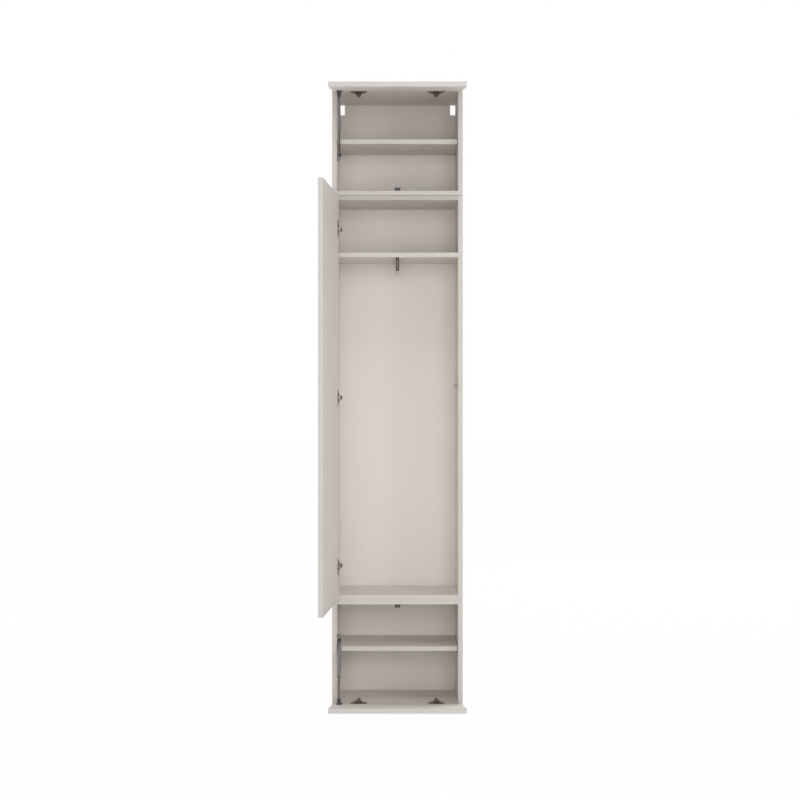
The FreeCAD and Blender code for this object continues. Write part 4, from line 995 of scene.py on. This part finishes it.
@dataclass
class GasStrut:
    """One gas strut: its CAD pieces, a gland ring, two lock wires, a foot shelf and a bracket cover."""

    name: str
    flap: DoorFrame
    flap_end_body: str
    foot_end_body: str
    cylinder_at_flap: bool
    ball: Vector = field(init=False)
    along: Vector = field(init=False)
    length_mm: float = 208.66
    gland: RingSize = RingSize(4.4, 1.0, 40)
    gland_along_mm: float = 128.0
    wire: RingSize = RingSize(4.9, 0.65, 32)
    wire_along_mm: float = 7.6
    foot_x_mm: float = -206.5
    gusset_mm: Triple = (13.0, 13.0, 15.0)
    gusset_at_mm: Triple = (6.5, 0.0, -15.5)
    gusset_bevel_mm: float = 0.9
    gusset_slope: Taper = Taper((0, 0, -1), (0.3, 1, 1), (0, 0, -23))
    plate_under_mm: float = 12.0
    cover_mm: Triple = (31.0, 4.2, 19.0)
    cover_slope: Triple = (0.78, 1.0, 0.88)
    cover_bevel_mm: float = 0.8
    cover_aside_mm: float = 3.0

    def __post_init__(self) -> None:
        """Read the ball's place and the strut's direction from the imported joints."""
        joints = {j["name"]: j for j in frame["joints"]}
        self.ball = Vector(joints[f"{self.name}_swing"]["pos_m"])
        self.along = Vector(joints[f"{self.name}_slide"]["axis"]).normalized()

    def station(self, along_mm: float, from_foot: bool) -> Matrix:
        """A place on the strut's axis, with Z along it and away from the end it is counted from.

        Args:
            along_mm: how far it is from that end's pivot.
            from_foot: whether it is counted from the cabinet's end.

        Returns:
            The place.
        """
        direction = -self.along if from_foot else self.along
        start = self.ball + self.along * self.length_mm * MM if from_foot else self.ball
        turned = direction.to_track_quat("Z", "Y").to_matrix().to_4x4()
        return Matrix.Translation(start + direction * along_mm * MM) @ turned

    def build(self, palette: Palette) -> None:
        """Model the gland ring, the foot plate's shelf, the bracket's cover and both lock wires.

        Args:
            palette: the wardrobe's materials.
        """
        from_foot = not self.cylinder_at_flap
        body = self.foot_end_body if from_foot else self.flap_end_body
        gland = ring("gland_ring", self.gland)
        repeat(gland, f"{self.name}_gland_ring", [self.station(self.gland_along_mm, from_foot)], body,
               palette["black_nylon"])
        self.build_gusset(palette)
        self.build_cover(palette)
        for end, rider in (("flap", self.flap_end_body), ("foot", self.foot_end_body)):
            wire = ring("lock_wire", self.wire)
            neck = self.station(self.wire_along_mm, end == "foot")
            repeat(wire, f"{self.name}_{end}_lock_wire", [neck], rider,
                   palette["zinc_plated_steel"])

    def build_gusset(self, palette: Palette) -> None:
        """Model the pressed shelf that stiffens the foot plate on the side away from the strut.

        Args:
            palette: the wardrobe's materials.
        """
        gusset = block("foot_gusset", self.gusset_mm, self.gusset_at_mm, self.gusset_bevel_mm,
                       self.gusset_slope)
        foot = self.ball + self.along * self.length_mm * MM
        plate = Matrix.Translation(Vector((self.foot_x_mm * MM, foot.y, foot.z)))
        flip = Matrix.Identity(4) if self.along.z < 0 else turn(180, "X")
        repeat(gusset, f"{self.name}_foot_gusset", [plate @ flip], "cabinet",
               palette["strut_enamel"])

    def build_cover(self, palette: Palette) -> None:
        """Model the moulded cover over the plate and the screws of the flap's bracket.

        Args:
            palette: the wardrobe's materials.
        """
        height = self.cover_mm[1]
        slope = Taper((0, 1, 0), self.cover_slope, (0, height, 0))
        cover = block("bracket_cover", self.cover_mm, (0, height / 2, 0), self.cover_bevel_mm, slope)
        panel = self.flap.panel()
        seat = panel.inverted() @ self.ball / MM
        inwards = 1.0 if panel.col[2].x > 0 else -1.0
        place = panel @ shift(seat.x, seat.y - self.plate_under_mm, seat.z + self.cover_aside_mm * inwards)
        repeat(cover, f"{self.name}_bracket_cover", [place], self.flap.door,
               palette["black_nylon"])

    def dress(self, palette: Palette) -> None:
        """Give the strut's CAD pieces their finishes.

        Args:
            palette: the wardrobe's materials.
        """
        dress_nodes({
            f"{self.name}_cylinder": "strut_enamel",
            f"{self.name}_rod": "chromed_rod",
            f"{self.name}_flap_socket": "black_nylon",
            f"{self.name}_foot_end": "black_nylon",
            f"{self.name}_foot_plate": "strut_enamel",
            f"{self.name}_flap_bracket": "bracket_enamel",
        }, palette)


@dataclass
class PushLatches:
    """The three push latches: grip ribs on each shell and a collar at each bore."""

    low_roof_mm: float = 362.0
    wall_mm: float = INNER_WALL_MM
    wall_height_mm: float = 1117.5
    top_base_mm: float = 1788.0
    front_mm: float = -132.7
    shell_height_mm: float = 12.0
    shell_length_mm: float = 52.0
    rib_mm: Triple = (14.0, 1.2, 0.8)
    rib_at_mm: Triple = (0.0, 0.0, 0.2)
    rib_bevel_mm: float = 0.25
    rib_count: int = 5
    rib_pitch_mm: float = 3.0
    rib_inset_mm: float = 6.0
    collar: RingSize = RingSize(4.7, 0.5, 36)

    def build(self, palette: Palette) -> None:
        """Model the grip ribs on the shells and the collar at each bore.

        Args:
            palette: the wardrobe's materials.
        """
        seats = (
            shift(0, 0, self.low_roof_mm) @ turn(180, "Y"),
            shift(self.wall_mm, 0, self.wall_height_mm) @ turn(-90, "Y"),
            shift(0, 0, self.top_base_mm),
        )
        last = self.front_mm + self.shell_length_mm - self.rib_inset_mm
        places, collars = [], []
        for seat in seats:
            for i in range(self.rib_count):
                places.append(seat @ shift(0, last - i * self.rib_pitch_mm, self.shell_height_mm))
            collars.append(seat @ shift(0, self.front_mm, self.shell_height_mm / 2) @ turn(90, "X"))
        rib = block("grip_rib", self.rib_mm, self.rib_at_mm, self.rib_bevel_mm)
        repeat(rib, "latch_grip_ribs", places, "cabinet", palette["latch_shell"])
        collar = ring("bore_collar", self.collar)
        repeat(collar, "latch_bore_collars", collars, "cabinet", palette["latch_shell"])

    def dress(self, palette: Palette) -> None:
        """Give the latches their finishes.

        Args:
            palette: the wardrobe's materials.
        """
        given = {f"{name}_latch_plunger": "grey_plunger" for name in ("low", "top")}
        # the right-hand latch's plunger takes the paler copy, painted light
        given |= {"main_latch_plunger": "side_plunger", "latch_housings": "latch_shell"}
        dress_nodes(given, palette)


@dataclass
class ValetRail:
    """The pull-out rail, with the light strip let into its front leg."""

    shelf_mm: float = 1559.0
    leg_front_mm: float = -138.15
    groove_mm: float = 1.2
    strip_width_mm: float = 3.2
    strip_height_mm: float = 41.0
    strip_drop_mm: float = 1.5
    strip_sunk_mm: float = 0.1
    strip_bevel_mm: float = 0.3

    def build(self, palette: Palette) -> None:
        """Model the strip in the groove of the front leg.

        Args:
            palette: the wardrobe's materials.
        """
        span = (self.strip_width_mm, self.groove_mm, self.strip_height_mm)
        depth = self.leg_front_mm + self.groove_mm / 2 + self.strip_sunk_mm
        height = self.shelf_mm - self.strip_drop_mm - self.strip_height_mm / 2
        strip = block("rail_strip", span, (0, depth, height), self.strip_bevel_mm)
        repeat(strip, "rail_front_strip", [Matrix.Identity(4)], "valet_rail",
               palette["rail_inlay"])

    def dress(self, palette: Palette) -> None:
        """Give the rail its finishes.

        Args:
            palette: the wardrobe's materials.
        """
        dress_nodes({"valet_rail_bracket": "pale_enamel", "valet_rail_bar": "rail_enamel"}, palette)


# The studio


@dataclass(frozen=True)
class Lamp:
    """A soft square lamp: how it stands to the wardrobe's middle, its side in metres and its watts."""

    name: str
    elevation: float
    azimuth: float
    reach_m: float
    size_m: float
    power: float

    def offset(self) -> Vector:
        """Where it hangs.

        Returns:
            The way to it from the middle of the wardrobe, in metres.
        """
        rise, swing = math.radians(self.elevation), math.radians(self.azimuth)
        level = Vector((math.sin(swing), -math.cos(swing), 0)) * math.cos(rise)
        return (level + Vector((0, 0, math.sin(rise)))) * self.reach_m


@dataclass
class Studio:
    """The pale floor, the soft lamps and the camera."""

    distance_mm: float = 5307.0
    front_mm: float = -140.0
    eye_mm: float = 1075.0
    focal_px: float = 1540.0
    picture_px: float = 800.0
    sensor_mm: float = 36.0
    centre_px: Pair = (397.45, 397.6)
    lamps: tuple[Lamp, ...] = (
        Lamp("key", 54.0, 0.0, 6.0, 1.4, 46.0),
        Lamp("front_fill", 3.0, 0.0, 5.6, 3.0, 122.0),
        Lamp("right_fill", 10.0, 50.0, 5.6, 2.4, 74.0),
        Lamp("left_rear_fill", 14.0, -112.0, 5.6, 2.4, 120.0),
        Lamp("right_rear_fill", 20.0, 152.0, 5.6, 2.4, 130.0),
    )
    world_colour: str = "#FFFEFC"
    world_strength: float = 0.35
    floor_colour: str = "#F4F3F1"
    floor_whiteness: float = 0.98
    floor_drop_mm: float = 0.6
    room_m: float = 60.0

    def build_camera(self) -> None:
        """Stand the camera straight in front, where the photograph's perspective puts it."""
        data = bpy.data.cameras.new("camera")
        data.sensor_width = self.sensor_mm
        data.lens = self.focal_px / self.picture_px * self.sensor_mm
        half = self.picture_px / 2
        data.shift_x = (half - self.centre_px[0]) / self.picture_px
        data.shift_y = (self.centre_px[1] - half) / self.picture_px
        data.clip_end = self.room_m
        camera = bpy.data.objects.new("camera", data)
        camera.location = Vector((0, self.front_mm - self.distance_mm, self.eye_mm)) * MM
        camera.rotation_euler = Euler((math.radians(90), 0, 0))
        bpy.context.collection.objects.link(camera)
        bpy.context.scene.camera = camera

    def build_lamps(self) -> None:
        """Hang the lamps, each facing the middle of the wardrobe."""
        aim = Vector((0, 0, self.eye_mm)) * MM
        for lamp in self.lamps:
            data = bpy.data.lights.new(lamp.name, "AREA")
            data.shape = "SQUARE"
            data.size = lamp.size_m
            data.energy = lamp.power
            hung = bpy.data.objects.new(lamp.name, data)
            hung.location = aim + lamp.offset()
            hung.rotation_euler = (-lamp.offset()).to_track_quat("-Z", "Y").to_euler()
            bpy.context.collection.objects.link(hung)

    def white_shares(self, tree: Tree) -> Socket:
        """Whether a ray comes from the camera, or from gloss or glass.

        Args:
            tree: the tree of the floor or the world.

        Returns:
            One for such a ray and zero for any other.
        """
        path = add(tree, "ShaderNodeLightPath")
        given = {0: path.outputs["Is Camera Ray"], 1: path.outputs["Is Glossy Ray"]}
        some = add(tree, "ShaderNodeMath", given, operation="ADD").outputs[0]
        given = {0: some, 1: path.outputs["Is Transmission Ray"]}
        return add(tree, "ShaderNodeMath", given, operation="ADD", use_clamp=True).outputs[0]

    def build_world(self) -> None:
        """Light the room evenly, and show white behind the object."""
        world = bpy.data.worlds.new("studio")
        bpy.context.scene.world = world
        tree = bare_tree(world)
        even = {"Color": linear(self.world_colour), "Strength": self.world_strength}
        light = add(tree, "ShaderNodeBackground", even).outputs[0]
        white = add(tree, "ShaderNodeBackground", {"Color": WHITE, "Strength": 1.0}).outputs[0]
        mix = add(tree, "ShaderNodeMixShader", {0: self.white_shares(tree), 1: light, 2: white})
        add(tree, "ShaderNodeOutputWorld", {"Surface": mix.outputs[0]})

    def build_floor(self) -> None:
        """Lay a pale floor that the camera sees nearly white, with the object's faint shadow."""
        bpy.ops.object.select_all(action="DESELECT")
        bpy.ops.mesh.primitive_plane_add(size=self.room_m, location=(0, 0, -self.floor_drop_mm * MM))
        floor = bpy.context.active_object
        floor.name = "floor"
        material = bpy.data.materials.new("pale_floor")
        tree = bare_tree(material)
        matt = add(tree, "ShaderNodeBsdfDiffuse", {"Color": linear(self.floor_colour)}).outputs[0]
        white = add(tree, "ShaderNodeEmission", {"Color": WHITE, "Strength": 1.0}).outputs[0]
        given = {0: self.white_shares(tree), 1: self.floor_whiteness}
        share = add(tree, "ShaderNodeMath", given, operation="MULTIPLY").outputs[0]
        mix = add(tree, "ShaderNodeMixShader", {0: share, 1: matt, 2: white})
        add(tree, "ShaderNodeOutputMaterial", {"Surface": mix.outputs[0]})
        floor.data.materials.append(material)

    def build(self) -> None:
        """Set up the whole studio."""
        self.build_camera()
        self.build_world()
        self.build_lamps()
        self.build_floor()
        bpy.context.scene.view_settings.view_transform = "Standard"


def main() -> None:
    """Build the studio, then dress each sub-assembly."""
    logging.basicConfig(level=logging.INFO, format="%(name)s %(message)s")
    Studio().build()
    palette = Palette()
    parts = (
        Carcasses(),
        Hinges(MAIN_DOOR, arm_finish="nickel_plated_steel", hooded=True),
        Hinges(TOP_FLAP),
        Hinges(LOW_FLAP),
        GasStrut("top_strut", TOP_FLAP, "top_strut_upper", "top_strut_lower", True),
        GasStrut("low_strut", LOW_FLAP, "low_strut_lower", "low_strut_upper", False),
        PushLatches(),
        ValetRail(),
    )
    for part in parts:
        part.dress(palette)
        part.build(palette)


if __name__ == "__main__":
    main()
